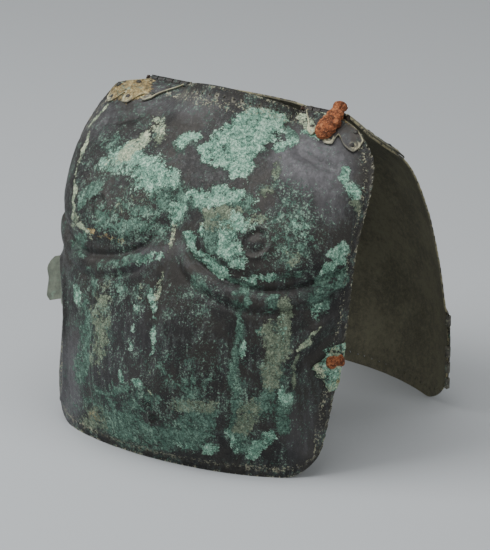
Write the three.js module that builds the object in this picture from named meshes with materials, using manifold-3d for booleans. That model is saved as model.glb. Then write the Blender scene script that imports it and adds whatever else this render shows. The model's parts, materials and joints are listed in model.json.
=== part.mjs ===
// A bronze muscle cuirass: a breast plate and a back plate of thin beaten sheet, joined over the
// shoulders by riveted hinges. It stands open on its two lower edges, like a tent.
//
// Millimetres. +X is the wearer's left, the breast faces -Y and +Z is up. While it is modelled, the
// point on the ground straight below the middle of the shoulder hinges is (0, 0, 0). The last lines
// move the whole thing so that the middle of its footprint is the origin.

import * as THREE from 'three';
import Module from 'manifold-3d';
import { mergeVertices } from 'three/addons/utils/BufferGeometryUtils.js';

const wasm = await Module();
wasm.setup();

// Driving dimensions of the two plates

const AXIS_HEIGHT = 326;
const PLATE_WALL = 1.5;
const TOP_SETBACK = 6;
const CORNER_RADIUS = 30;
const NECK_HALF_WIDTH = 64;

const FRONT_HALF_WIDTH = 165;
const FRONT_DEPTH = 174;
const FRONT_NECK_DEPTH = 45;
const FRONT_NECK_RISE = 27;

const BACK_HALF_WIDTH = 176;
const BACK_DEPTH = 169;
const BACK_NECK_DEPTH = 34;
const BACK_NECK_RISE = -10;

// Heights of the relief

const BREAST_RISE = 8;
const BREAST_EDGE = 16;
const RIB_ROLL_RISE = 4;
const RIB_ROLL_WIDTH = 24;
const BELLY_RISE = 2.5;
const BELLY_HALF_WIDTH = 76;
const MIDLINE_DEPTH = 2;
const HIP_RECESS = 3;
const HIP_LIP_RISE = 2;
const COLLARBONE_GROOVE = 2.5;
const SPINE_DEPTH = 5;
const SPINE_HALF_WIDTH = 11;
const BLADE_RISE = 7;
const LOIN_STEP = 2;
const PLAIN_BORDER = 10;

// Shoulder hinges

const LEAF_WALL = 1.2;
const SEAT_GAP = 0.6;
const REST_GAP = 0.3;
const BARREL_RADIUS = 4;
const PIN_RADIUS = 1.8;
const PIN_CLEARANCE = 0.3;
const KNUCKLE_GAP = 0.5;
const KNUCKLES = 5;
const BARREL_FROM_NECK = 3;
const PIN_OVERHANG = 3;
const PIN_HEAD_RADIUS = 3;
const PIN_HEAD_LENGTH = 1.6;
const RIVET_RADIUS = 2.5;
const RIVET_RISE = 1;

// Side hinges

const SIDE_LEAF_WIDTH = 15;
const BENT_LEAF_GAP = 0.95;
const SIDE_BARREL_RADIUS = 2.7;
const SIDE_EDGE_GAP = 2.8;
const SIDE_BORE_RADIUS = 1.3;
const SIDE_KNUCKLE_PITCH = 17;
const SIDE_KNUCKLE_LENGTH = 10.5;
const SIDE_KNUCKLES = 5;
const LOST_KNUCKLE = 3;
const BACK_SIDE_LEAF_BOTTOM = 22;
const FRONT_SIDE_LEAF_BOTTOM = 112;
const FRONT_SIDE_LEAF_HEIGHT = 43;
const BENT_FLAP_LENGTH = 20;
const BENT_FLAP_TURN = 77;
const FRONT_REMAINS_BOTTOM = 86;
const FRONT_REMAINS_HEIGHT = 46;
const FRONT_REMAINS_WIDTH = 30;
const SIDE_BEND_RADIUS = 2;
const SIDE_RIVET_INSET = 9;
const SHEET_LAP = 0.7;

// Rusted iron

const SHOULDER_IRON_LENGTH = 44;
const SHOULDER_IRON_WIDTH = 17;
const SHOULDER_IRON_HEIGHT = 15;
const SHOULDER_IRON_ACROSS = 108;
const TURNING_ROOM = 3;
const SIDE_IRON_LENGTH = 21;
const SIDE_IRON_WIDTH = 13;
const SIDE_IRON_HEIGHT = 9;
const SIDE_IRON_HEIGHT_ABOVE_GROUND = 117;
const PAD_DEPTH = 25;

// Grids

const FRONT_COLUMNS = 32;
const FRONT_ROWS = 26;
const BACK_COLUMNS = 24;
const BACK_ROWS = 22;
const ROW_CROWDING = 1.3;
const LEAF_COLUMNS = 11;
const LEAF_ROWS = 5;
const BARREL_SIDES = 10;
const SIDE_BARREL_SIDES = 8;
const DOME_SIDES = 6;
const LUMP_SIDES = 10;
const FACET_TOLERANCE = 0.02;

// Sections of the plates, from the lower edge up to the hinge. run is the share of the way up. The
// heights are shares of the hinge's height, width of the plate's half width and the depths of the
// plate's depth, at the side edge and at the middle. neck is how far the neck opening reaches down.

const FRONT_SECTIONS = [
  { run: 0.00, edgeUp: 0.000, midUp: 0.000, width: 0.880, edgeDepth: 0.638, midDepth: 0.881, neck: 0.00 },
  { run: 0.12, edgeUp: 0.128, midUp: 0.131, width: 0.930, edgeDepth: 0.581, midDepth: 0.948, neck: 0.00 },
  { run: 0.25, edgeUp: 0.277, midUp: 0.250, width: 0.952, edgeDepth: 0.503, midDepth: 1.000, neck: 0.00 },
  { run: 0.40, edgeUp: 0.435, midUp: 0.405, width: 0.978, edgeDepth: 0.439, midDepth: 0.969, neck: 0.00 },
  { run: 0.60, edgeUp: 0.649, midUp: 0.613, width: 0.992, edgeDepth: 0.372, midDepth: 0.837, neck: 0.00 },
  { run: 0.75, edgeUp: 0.821, midUp: 0.750, width: 1.000, edgeDepth: 0.228, midDepth: 0.720, neck: 0.00 },
  { run: 0.84, edgeUp: 0.911, midUp: 0.845, width: 0.952, edgeDepth: 0.110, midDepth: 0.614, neck: 0.06 },
  { run: 0.90, edgeUp: 0.958, midUp: 0.923, width: 0.881, edgeDepth: 0.077, midDepth: 0.426, neck: 0.22 },
  { run: 0.95, edgeUp: 0.988, midUp: 0.976, width: 0.824, edgeDepth: 0.066, midDepth: 0.188, neck: 0.63 },
  { run: 1.00, edgeUp: 1.000, midUp: 1.000, width: 0.667, edgeDepth: 0.000, midDepth: 0.000, neck: 1.00 },
];

const BACK_SECTIONS = [
  { run: 0.00, edgeUp: 0.000, midUp: 0.000, width: 0.930, edgeDepth: 0.555, midDepth: 0.886, neck: 0.00 },
  { run: 0.12, edgeUp: 0.114, midUp: 0.114, width: 0.995, edgeDepth: 0.529, midDepth: 0.961, neck: 0.00 },
  { run: 0.25, edgeUp: 0.235, midUp: 0.235, width: 1.000, edgeDepth: 0.529, midDepth: 1.000, neck: 0.00 },
  { run: 0.40, edgeUp: 0.390, midUp: 0.390, width: 0.972, edgeDepth: 0.515, midDepth: 0.973, neck: 0.00 },
  { run: 0.60, edgeUp: 0.598, midUp: 0.583, width: 0.937, edgeDepth: 0.440, midDepth: 0.851, neck: 0.00 },
  { run: 0.75, edgeUp: 0.747, midUp: 0.726, width: 0.903, edgeDepth: 0.342, midDepth: 0.725, neck: 0.00 },
  { run: 0.84, edgeUp: 0.845, midUp: 0.821, width: 0.861, edgeDepth: 0.236, midDepth: 0.575, neck: 0.06 },
  { run: 0.90, edgeUp: 0.911, midUp: 0.899, width: 0.800, edgeDepth: 0.089, midDepth: 0.403, neck: 0.22 },
  { run: 0.95, edgeUp: 0.958, midUp: 0.953, width: 0.731, edgeDepth: 0.014, midDepth: 0.195, neck: 0.63 },
  { run: 1.00, edgeUp: 1.000, midUp: 1.000, width: 0.625, edgeDepth: 0.000, midDepth: 0.000, neck: 1.00 },
];

// How far each plate wraps round the body, in degrees from its middle to its side edge.

const FRONT_WRAP = [
  { run: 0.0, angle: 68 },
  { run: 0.5, angle: 76 },
  { run: 1.0, angle: 66 },
];

const BACK_WRAP = [
  { run: 0.0, angle: 50 },
  { run: 0.5, angle: 58 },
  { run: 1.0, angle: 58 },
];

// The fold under the breast: height as a share of the hinge's, across as a share of the half width.

const BREAST_FOLD = [
  { across: 0.00, height: 0.725 },
  { across: 0.08, height: 0.702 },
  { across: 0.18, height: 0.660 },
  { across: 0.32, height: 0.626 },
  { across: 0.47, height: 0.604 },
  { across: 0.62, height: 0.592 },
  { across: 0.78, height: 0.604 },
  { across: 0.91, height: 0.629 },
  { across: 1.00, height: 0.655 },
];

// Lower outline of the shoulder leaves, as the run reached on the plate. place goes from the leaf's
// neck side to its arm side.

const FRONT_LEAF_OUTLINE = [
  { place: 0.00, run: 0.945 },
  { place: 0.10, run: 0.935 },
  { place: 0.19, run: 0.950 },
  { place: 0.33, run: 0.918 },
  { place: 0.45, run: 0.914 },
  { place: 0.55, run: 0.934 },
  { place: 0.66, run: 0.905 },
  { place: 0.78, run: 0.884 },
  { place: 0.90, run: 0.893 },
  { place: 1.00, run: 0.908 },
];

const BACK_LEAF_OUTLINE = [
  { place: 0.00, run: 0.930 },
  { place: 0.12, run: 0.912 },
  { place: 0.24, run: 0.930 },
  { place: 0.40, run: 0.885 },
  { place: 0.54, run: 0.875 },
  { place: 0.64, run: 0.898 },
  { place: 0.78, run: 0.850 },
  { place: 0.90, run: 0.838 },
  { place: 1.00, run: 0.845 },
];

// Rivets on a shoulder leaf: place as above, reach as the share of the way from outline to hinge.

const LEAF_RIVETS = [
  { place: 0.08, reach: 0.30 },
  { place: 0.12, reach: 0.78 },
  { place: 0.42, reach: 0.18 },
  { place: 0.78, reach: 0.16 },
  { place: 0.92, reach: 0.45 },
  { place: 0.80, reach: 0.80 },
];

const LEAF_PLACES = { inner: 0.54, outer: 0.985 };

// What is left of the front's side leaf: its width as a share of the whole, by share of its height.

const REMAINS_OUTLINE = [
  { up: 0.00, width: 0.25 },
  { up: 0.20, width: 0.45 },
  { up: 0.50, width: 0.85 },
  { up: 0.65, width: 1.00 },
  { up: 0.80, width: 0.60 },
  { up: 1.00, width: 0.35 },
];

// Materials

const bronze = new THREE.MeshStandardMaterial({ color: 0x4a4a42, roughness: 0.55, metalness: 0.6 });
const paleBronze = new THREE.MeshStandardMaterial({ color: 0x77756a, roughness: 0.7, metalness: 0.4 });
const rust = new THREE.MeshStandardMaterial({ color: 0x9a5a3c, roughness: 0.95, metalness: 0.1 });

// Small functions

const smooth = (from, to, value) => THREE.MathUtils.smoothstep(value, from, to);
const bell = (distance, width) => Math.exp(-((distance / width) ** 2));

// A smooth curve through the rows of a table that never overshoots them: cubic between rows, with the
// harmonic mean of the two neighbouring slopes at each row.
function curveThrough(rows, key, column) {
  const at = rows.map((row) => row[key]);
  const value = rows.map((row) => row[column]);
  const last = rows.length - 1;
  const step = at.slice(1).map((x, i) => x - at[i]);
  const rise = step.map((h, i) => (value[i + 1] - value[i]) / h);
  const slope = value.map((_, i) => {
    if (i === 0) return rise[0];
    if (i === last) return rise[last - 1];
    if (rise[i - 1] * rise[i] <= 0) return 0;
    const before = 2 * step[i] + step[i - 1];
    const after = step[i] + 2 * step[i - 1];
    return (before + after) / (before / rise[i - 1] + after / rise[i]);
  });
  return (x) => {
    let i = 0;
    while (i < last - 1 && x > at[i + 1]) i += 1;
    const u = THREE.MathUtils.clamp((x - at[i]) / step[i], 0, 1);
    const u2 = u * u;
    const u3 = u2 * u;
    return (2 * u3 - 3 * u2 + 1) * value[i] + (3 * u2 - 2 * u3) * value[i + 1]
      + step[i] * ((u3 - 2 * u2 + u) * slope[i] + (u3 - u2) * slope[i + 1]);
  };
}

// Relief, in millimetres out from the plate, at a place across and up

const breastFold = curveThrough(BREAST_FOLD, 'across', 'height');

function frontRelief(x, z) {
  const across = Math.abs(x);
  const share = across / FRONT_HALF_WIDTH;
  const above = z - breastFold(share) * AXIS_HEIGHT;
  const chestTop = 0.3 * AXIS_HEIGHT;
  const breast = BREAST_RISE * smooth(-1, BREAST_EDGE, above)
    * (1 - smooth(0.1 * AXIS_HEIGHT, chestTop, above))
    * smooth(0, 0.28, share) * (1 - 0.5 * smooth(0.75, 1, share));
  const rollPlace = THREE.MathUtils.clamp(-above / RIB_ROLL_WIDTH, 0, 1);
  const roll = RIB_ROLL_RISE * Math.sin(Math.PI * rollPlace) ** 2 * smooth(0.03, 0.15, share);
  const belowFold = smooth(2, RIB_ROLL_WIDTH, -above);
  const belly = BELLY_RISE * belowFold * (1 - smooth(BELLY_HALF_WIDTH - 8, BELLY_HALF_WIDTH, across));
  const midline = -MIDLINE_DEPTH * bell(x, 5) * (1 - smooth(0.8 * AXIS_HEIGHT, 0.9 * AXIS_HEIGHT, z))
    * smooth(0.15 * AXIS_HEIGHT, 0.22 * AXIS_HEIGHT, z);
  const hipAcross = Math.abs(across - 1.02 * FRONT_HALF_WIDTH) / (0.235 * FRONT_HALF_WIDTH);
  const hipUp = Math.abs(z - 0.26 * AXIS_HEIGHT) / (0.215 * AXIS_HEIGHT);
  const hip = (hipAcross ** 2.6 + hipUp ** 2.6) ** (1 / 2.6);
  const hipShape = HIP_LIP_RISE * bell(hip - 1.08, 0.12) - HIP_RECESS * (1 - smooth(0.8, 1.02, hip));
  const grooveAlong = (share - 0.54) / 0.25;
  const grooveUp = z / AXIS_HEIGHT - (0.944 - 0.04 * grooveAlong);
  const groove = -COLLARBONE_GROOVE * bell(grooveUp, 0.014) * smooth(-0.2, 0.1, grooveAlong)
    * (1 - smooth(0.9, 1.2, grooveAlong));
  return breast + roll + belly + midline + hipShape + groove;
}

function backRelief(x, z) {
  const share = Math.abs(x) / BACK_HALF_WIDTH;
  const up = z / AXIS_HEIGHT;
  const spine = -SPINE_DEPTH * bell(x, SPINE_HALF_WIDTH)
    * smooth(0.04, 0.2, up) * (1 - smooth(0.75, 0.92, up));
  const blade = BLADE_RISE * bell(share - 0.45, 0.27) * bell(up - 0.68, 0.15);
  const loinLine = 0.325 - 0.14 * share ** 2;
  const loin = -LOIN_STEP * (1 - smooth(-0.03, 0.01, up - loinLine)) * (1 - smooth(0.6, 0.85, share));
  return spine + blade + loin;
}

// The plates as surfaces: s goes from -1 at the wearer's right edge to 1 at the left one, and t from 0
// at the lower edge to 1 at the hinge. The lower corners are rounded by starting each column higher.

function makePlate({ side, sections, wrap, halfWidth, depth, neckDepth, neckRise, relief }) {
  const curve = (column) => curveThrough(sections, 'run', column);
  const edgeHeight = curve('edgeUp');
  const midHeight = curve('midUp');
  const width = curve('width');
  const edgeDepth = curve('edgeDepth');
  const midDepth = curve('midDepth');
  const neck = curve('neck');
  const wrapAngle = curveThrough(wrap, 'run', 'angle');

  function base(s, t) {
    const edgeAngle = THREE.MathUtils.degToRad(wrapAngle(t));
    const angle = s * edgeAngle;
    const inwards = (Math.cos(angle) - Math.cos(edgeAngle)) / (1 - Math.cos(edgeAngle));
    const x = halfWidth * width(t) * Math.sin(angle) / Math.sin(edgeAngle);
    const neckShape = Math.max(0, 1 - (x / NECK_HALF_WIDTH) ** 2) ** 0.8;
    const reach = edgeDepth(t) + (midDepth(t) - edgeDepth(t)) * inwards;
    const height = edgeHeight(t) + (midHeight(t) - edgeHeight(t)) * inwards;
    const y = TOP_SETBACK + depth * reach + neckDepth * neckShape * neck(t);
    const z = AXIS_HEIGHT * height + neckRise * neckShape * neck(t) ** 2;
    return new THREE.Vector3(x, side * y, z);
  }

  const girthSteps = 60;
  const girth = [0];
  for (let i = 1; i <= girthSteps; i += 1) {
    girth.push(girth[i - 1] + base((i - 1) / girthSteps, 0).distanceTo(base(i / girthSteps, 0)));
  }
  const edgeHeightPerRun = AXIS_HEIGHT * sections[1].edgeUp / sections[1].run;

  function lowestRun(s) {
    const place = Math.min(Math.abs(s), 1) * girthSteps;
    const i = Math.min(Math.floor(place), girthSteps - 1);
    const here = girth[i] + (girth[i + 1] - girth[i]) * (place - i);
    const fromEdge = girth[girthSteps] - here;
    if (fromEdge >= CORNER_RADIUS) return 0;
    const lift = CORNER_RADIUS - Math.sqrt(CORNER_RADIUS ** 2 - (CORNER_RADIUS - fromEdge) ** 2);
    return lift / edgeHeightPerRun;
  }

  // The outward normal. Near the ground it is level, so that the lower edge stays flat.
  function normal(s, t) {
    const small = 1e-3;
    const right = base(Math.min(s + small, 1), t).sub(base(Math.max(s - small, -1), t));
    const up = base(s, Math.min(t + small, 1)).sub(base(s, Math.max(t - small, 0)));
    const out = right.cross(up).multiplyScalar(-side);
    out.z *= smooth(0, 2 * PLAIN_BORDER, base(s, t).z);
    return out.normalize();
  }

  function outside(s, t) {
    const point = base(s, t);
    const low = lowestRun(s);
    const fromSide = (1 - Math.abs(s)) * girth[girthSteps];
    const fromBottom = (t - low) * edgeHeightPerRun;
    const fromTop = (1 - t) * AXIS_HEIGHT;
    const field = smooth(0.4 * PLAIN_BORDER, 1.6 * PLAIN_BORDER, Math.min(fromSide, fromBottom, fromTop));
    return point.addScaledVector(normal(s, t), field * relief(point.x, point.z));
  }

  return { side, base, normal, outside, lowestRun };
}

const front = makePlate({
  side: -1,
  sections: FRONT_SECTIONS,
  wrap: FRONT_WRAP,
  halfWidth: FRONT_HALF_WIDTH,
  depth: FRONT_DEPTH,
  neckDepth: FRONT_NECK_DEPTH,
  neckRise: FRONT_NECK_RISE,
  relief: frontRelief,
});

const back = makePlate({
  side: 1,
  sections: BACK_SECTIONS,
  wrap: BACK_WRAP,
  halfWidth: BACK_HALF_WIDTH,
  depth: BACK_DEPTH,
  neckDepth: BACK_NECK_DEPTH,
  neckRise: BACK_NECK_RISE,
  relief: backRelief,
});

// Solids

function signedVolume(points, triangles) {
  let sum = 0;
  const cross = new THREE.Vector3();
  for (let i = 0; i < triangles.length; i += 3) {
    const [a, b, c] = [points[triangles[i]], points[triangles[i + 1]], points[triangles[i + 2]]];
    sum += a.dot(cross.crossVectors(b, c));
  }
  return sum / 6;
}

// A closed sheet between two grids of points, rows by columns, with its faces pointing out.
function sheetGeometry(outer, inner) {
  const rows = outer.length;
  const columns = outer[0].length;
  const points = [...outer.flat(), ...inner.flat()];
  const top = (i, j) => i * columns + j;
  const under = (i, j) => rows * columns + top(i, j);
  const triangles = [];
  const quad = (a, b, c, d) => triangles.push(a, b, c, a, c, d);
  for (let i = 0; i < rows - 1; i += 1) {
    for (let j = 0; j < columns - 1; j += 1) {
      quad(top(i, j), top(i, j + 1), top(i + 1, j + 1), top(i + 1, j));
      quad(under(i, j), under(i + 1, j), under(i + 1, j + 1), under(i, j + 1));
    }
  }
  for (let j = 0; j < columns - 1; j += 1) {
    quad(under(0, j), under(0, j + 1), top(0, j + 1), top(0, j));
    quad(top(rows - 1, j), top(rows - 1, j + 1), under(rows - 1, j + 1), under(rows - 1, j));
  }
  for (let i = 0; i < rows - 1; i += 1) {
    quad(under(i + 1, 0), under(i, 0), top(i, 0), top(i + 1, 0));
    quad(under(i, columns - 1), under(i + 1, columns - 1), top(i + 1, columns - 1), top(i, columns - 1));
  }
  if (signedVolume(points, triangles) < 0) triangles.reverse();
  const geometry = new THREE.BufferGeometry();
  geometry.setAttribute('position', new THREE.Float32BufferAttribute(points.flatMap((p) => p.toArray()), 3));
  geometry.setIndex(triangles);
  return geometry;
}

function toSolid(geometry) {
  const bare = geometry.clone();
  bare.deleteAttribute('normal');
  bare.deleteAttribute('uv');
  const merged = mergeVertices(bare, 1e-4);
  return new wasm.Manifold(new wasm.Mesh({
    numProp: 3,
    vertProperties: new Float32Array(merged.attributes.position.array),
    triVerts: new Uint32Array(merged.index.array),
  }));
}

function toGeometry(solid) {
  const mesh = solid.simplify(FACET_TOLERANCE).getMesh();
  const geometry = new THREE.BufferGeometry();
  geometry.setAttribute('position', new THREE.BufferAttribute(new Float32Array(mesh.vertProperties), 3));
  geometry.setIndex(new THREE.BufferAttribute(new Uint32Array(mesh.triVerts), 1));
  return geometry;
}

// A round bar between two points.
function bar(from, to, radius, sides = BARREL_SIDES) {
  const along = to.clone().sub(from);
  const geometry = new THREE.CylinderGeometry(radius, radius, along.length(), sides);
  const upright = new THREE.Vector3(0, 1, 0);
  const turn = new THREE.Quaternion().setFromUnitVectors(upright, along.clone().normalize());
  geometry.applyQuaternion(turn);
  geometry.translate(...from.clone().add(to).multiplyScalar(0.5).toArray());
  return toSolid(geometry);
}

// A low dome whose middle is a point on a surface, and that many millimetres larger all round.
function rivet(point, out, larger = 0) {
  const radius = RIVET_RADIUS + larger;
  const geometry = new THREE.SphereGeometry(radius, DOME_SIDES, 4);
  geometry.scale(1, (RIVET_RISE + larger) / radius, 1);
  geometry.applyQuaternion(new THREE.Quaternion().setFromUnitVectors(new THREE.Vector3(0, 1, 0), out));
  geometry.translate(...point.toArray());
  return toSolid(geometry);
}

// The rows of a plate lie closer together towards the shoulders.
function plateGeometry(plate, columns, rows) {
  const outer = [];
  const inner = [];
  for (let i = 0; i <= rows; i += 1) {
    const outerRow = [];
    const innerRow = [];
    const climb = 1 - (1 - i / rows) ** ROW_CROWDING;
    for (let j = 0; j <= columns; j += 1) {
      const s = 2 * j / columns - 1;
      const low = plate.lowestRun(s);
      const t = low + (1 - low) * climb;
      const point = plate.outside(s, t);
      const out = plate.normal(s, t);
      outerRow.push(point);
      innerRow.push(point.clone().addScaledVector(out, -PLATE_WALL));
    }
    outer.push(outerRow);
    inner.push(innerRow);
  }
  return sheetGeometry(outer, inner);
}

// Shoulder hinge. The barrel lies on the X axis at hinge height, between the neck and the arm.

const barrelStart = NECK_HALF_WIDTH + BARREL_FROM_NECK;
const topHalfWidth = FRONT_HALF_WIDTH * FRONT_SECTIONS.at(-1).width;
const knuckleLength = (topHalfWidth - barrelStart) / KNUCKLES;
const onAxis = (x) => new THREE.Vector3(x, 0, AXIS_HEIGHT);

function knuckleRange(index) {
  const from = barrelStart + index * knuckleLength;
  return [from + KNUCKLE_GAP / 2, from + knuckleLength - KNUCKLE_GAP / 2];
}

// Where a place on a shoulder leaf lies on its plate.
function leafSpot(hand, outline, place, reach) {
  const { inner, outer } = LEAF_PLACES;
  const low = curveThrough(outline, 'place', 'run')(place);
  return { s: hand * (inner + (outer - inner) * place), t: low + (1 - low) * reach };
}

function liftFrom(plate, { s, t }, height) {
  return plate.outside(s, t).addScaledVector(plate.normal(s, t), height);
}

function leafRivets(plate, hand, outline, larger = 0) {
  return LEAF_RIVETS.map(({ place, reach }) => {
    const spot = leafSpot(hand, outline, place, reach);
    return rivet(liftFrom(plate, spot, SEAT_GAP + LEAF_WALL), plate.normal(spot.s, spot.t), larger);
  });
}

function shoulderLeaf(plate, hand, outline, knuckleRemainder) {
  const outer = [];
  const inner = [];
  for (let i = 0; i <= LEAF_ROWS + 1; i += 1) {
    const outerRow = [];
    const innerRow = [];
    for (let j = 0; j <= LEAF_COLUMNS; j += 1) {
      const spot = leafSpot(hand, outline, j / LEAF_COLUMNS, Math.min(i / LEAF_ROWS, 1));
      const top = liftFrom(plate, spot, SEAT_GAP + LEAF_WALL);
      const under = liftFrom(plate, spot, SEAT_GAP);
      if (i > LEAF_ROWS) {
        top.y = plate.side * (PIN_RADIUS + PIN_CLEARANCE + BARREL_RADIUS) / 2;
        under.y = top.y;
      }
      outerRow.push(top);
      innerRow.push(under);
    }
    outer.push(outerRow);
    inner.push(innerRow);
  }
  let leaf = toSolid(sheetGeometry(outer, inner));
  for (const dome of leafRivets(plate, hand, outline)) leaf = leaf.add(dome);
  for (let k = 0; k < KNUCKLES; k += 1) {
    const [from, to] = knuckleRange(k);
    if (k % 2 === knuckleRemainder) {
      leaf = leaf.add(bar(onAxis(hand * from), onAxis(hand * to), BARREL_RADIUS));
    } else {
      const room = bar(onAxis(hand * (from - KNUCKLE_GAP)), onAxis(hand * (to + KNUCKLE_GAP)),
        BARREL_RADIUS + KNUCKLE_GAP);
      leaf = leaf.subtract(room);
    }
  }
  const bore = bar(onAxis(hand * (barrelStart - 10)), onAxis(hand * (topHalfWidth + 40)),
    PIN_RADIUS + PIN_CLEARANCE);
  return toGeometry(leaf.subtract(bore));
}

function shoulderPin(hand) {
  const start = barrelStart - PIN_OVERHANG;
  const end = topHalfWidth + PIN_OVERHANG;
  const head = (x, away) => {
    const outer = x + away * PIN_HEAD_LENGTH;
    return bar(onAxis(hand * x), onAxis(hand * outer), PIN_HEAD_RADIUS);
  };
  return toGeometry(bar(onAxis(hand * start), onAxis(hand * end), PIN_RADIUS)
    .add(head(start, -1))
    .add(head(end, 1)));
}

// Lumps of rust: a rounded form along a spine, with a surface made uneven by waves, cut to sit on
// what is under it.
function rustLump(spine, width, height, out, bumps) {
  const curve = new THREE.CatmullRomCurve3(spine);
  const geometry = new THREE.SphereGeometry(1, LUMP_SIDES, LUMP_SIDES);
  const position = geometry.attributes.position;
  const along = new THREE.Vector3();
  for (let i = 0; i < position.count; i += 1) {
    const p = new THREE.Vector3().fromBufferAttribute(position, i);
    const place = (p.y + 1) / 2;
    const centre = curve.getPoint(place);
    curve.getTangent(place, along);
    const sideways = along.clone().cross(out).normalize();
    const outwards = sideways.clone().cross(along).normalize();
    const ripple = Math.sin(7.1 * p.x + 3.2 * p.y) + Math.sin(6.3 * p.z - 5.1 * p.y) + Math.sin(9 * p.y);
    const wave = 1 + bumps * ripple;
    const point = centre
      .addScaledVector(sideways, p.x * wave * width / 2)
      .addScaledVector(outwards, p.z * wave * height / 2);
    position.setXYZ(i, point.x, point.y, point.z);
  }
  return toSolid(geometry);
}

// A thick pad over a stretch of a plate, used to cut what sits on the plate.
function coverOver(plate, sFrom, sTo, tFrom, tTo, below, above) {
  const steps = 12;
  const outer = [];
  const inner = [];
  for (let i = 0; i <= steps; i += 1) {
    const t = tFrom + (tTo - tFrom) * i / steps;
    const spots = Array.from({ length: steps + 1 }, (_, j) => sFrom + (sTo - sFrom) * j / steps);
    outer.push(spots.map((s) => plate.base(s, t).addScaledVector(plate.normal(s, t), above)));
    inner.push(spots.map((s) => plate.base(s, t).addScaledVector(plate.normal(s, t), -below)));
  }
  return toSolid(sheetGeometry(outer, inner));
}

function shoulderIron() {
  const up = new THREE.Vector3(0, 0, 1);
  const lean = SHOULDER_IRON_LENGTH;
  const low = AXIS_HEIGHT - 3;
  const spine = [
    new THREE.Vector3(SHOULDER_IRON_ACROSS, -lean, low - 5),
    new THREE.Vector3(SHOULDER_IRON_ACROSS, -0.62 * lean, low + 2),
    new THREE.Vector3(SHOULDER_IRON_ACROSS, -0.25 * lean, low + 10),
    new THREE.Vector3(SHOULDER_IRON_ACROSS, 0, low + 18),
  ];
  let lump = rustLump(spine, SHOULDER_IRON_WIDTH, SHOULDER_IRON_HEIGHT, up, 0.06);
  for (const dome of leafRivets(front, 1, FRONT_LEAF_OUTLINE, REST_GAP)) lump = lump.subtract(dome);
  const seat = coverOver(front, 0.4, 1, 0.8, 1, PAD_DEPTH, SEAT_GAP + LEAF_WALL + REST_GAP);
  const barrel = bar(onAxis(barrelStart - 10), onAxis(topHalfWidth + 30), BARREL_RADIUS + TURNING_ROOM);
  const throatHeight = 30;
  const throatTop = AXIS_HEIGHT + SEAT_GAP + LEAF_WALL + REST_GAP;
  const throat = new THREE.BoxGeometry(FRONT_HALF_WIDTH, 3 * TOP_SETBACK, throatHeight);
  throat.translate(SHOULDER_IRON_ACROSS, 0, throatTop - throatHeight / 2);
  return toGeometry(lump.subtract(seat).subtract(barrel).subtract(toSolid(throat)));
}

// Side hinges. A leaf lies on the outside of a plate along its side edge. A whole one turns past the edge
// by the given angle and ends in knuckles.

function runAtEdgeHeight(plate, hand, height) {
  let low = 0;
  let high = 0.9;
  for (let i = 0; i < 30; i += 1) {
    const middle = (low + high) / 2;
    if (plate.base(hand, middle).z < height) low = middle;
    else high = middle;
  }
  return low;
}

// The leaf's sheet. Its free end is drawn out to the straight line that the knuckles lie on.
function sideLeafGrid({
  plate, hand, bottom, height, gap = SEAT_GAP, tongue = 0, turn = 0, widthAt = () => SIDE_LEAF_WIDTH,
}) {
  const rows = 6;
  const onPlate = 3;
  const beyond = tongue > 0 ? 3 : 0;
  const outer = [];
  const inner = [];
  const places = [];
  const facings = [];
  const runLow = runAtEdgeHeight(plate, hand, bottom);
  const runHigh = runAtEdgeHeight(plate, hand, bottom + height);
  for (let i = 0; i <= rows; i += 1) {
    const t = runLow + (runHigh - runLow) * i / rows;
    const edge = plate.base(hand, t);
    const near = plate.base(hand * 0.98, t);
    const perWidth = 0.02 / edge.distanceTo(near);
    const outerRow = [];
    const innerRow = [];
    for (let j = 0; j <= onPlate; j += 1) {
      const s = hand * (1 - widthAt(i / rows) * perWidth * (1 - j / onPlate));
      const n = plate.normal(s, t);
      outerRow.push(plate.outside(s, t).addScaledVector(n, gap + LEAF_WALL));
      innerRow.push(plate.outside(s, t).addScaledVector(n, gap));
    }
    const n = plate.normal(hand, t);
    const onwards = edge.clone().sub(near).setZ(0).normalize();
    const heading = Math.atan2(onwards.y, onwards.x);
    const facing = Math.atan2(n.y, n.x);
    const turnSign = Math.sign(Math.sin(facing - heading));
    let place = edge.clone().addScaledVector(n, gap + LEAF_WALL / 2);
    let out = n;
    for (let j = 1; j <= beyond; j += 1) {
      const turned = THREE.MathUtils.degToRad(turn) * Math.min(1, j / 2) * turnSign;
      const step = j <= 2 ? SIDE_BEND_RADIUS : tongue - 2 * SIDE_BEND_RADIUS;
      const along = new THREE.Vector3(Math.cos(heading + turned), Math.sin(heading + turned), 0);
      out = new THREE.Vector3(Math.cos(facing + turned), Math.sin(facing + turned), 0);
      place = place.clone().addScaledVector(along, step);
      outerRow.push(place.clone().addScaledVector(out, LEAF_WALL / 2));
      innerRow.push(place.clone().addScaledVector(out, -LEAF_WALL / 2));
    }
    outer.push(outerRow);
    inner.push(innerRow);
    places.push(place);
    facings.push(out);
  }
  const lowEnd = places[0];
  const highEnd = places[rows];
  const past = new THREE.Vector3(-facings[0].y, facings[0].x, 0);
  if (past.x * hand < 0) past.negate();
  if (beyond > 0) {
    for (let i = 0; i <= rows; i += 1) {
      const straight = lowEnd.clone().lerp(highEnd, i / rows).addScaledVector(past, SHEET_LAP);
      outer[i][onPlate + beyond] = straight.clone().addScaledVector(facings[i], LEAF_WALL / 2);
      inner[i][onPlate + beyond] = straight.clone().addScaledVector(facings[i], -LEAF_WALL / 2);
    }
  }
  return { sheet: sheetGeometry(outer, inner), lowEnd, highEnd, runLow, runHigh };
}

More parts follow.
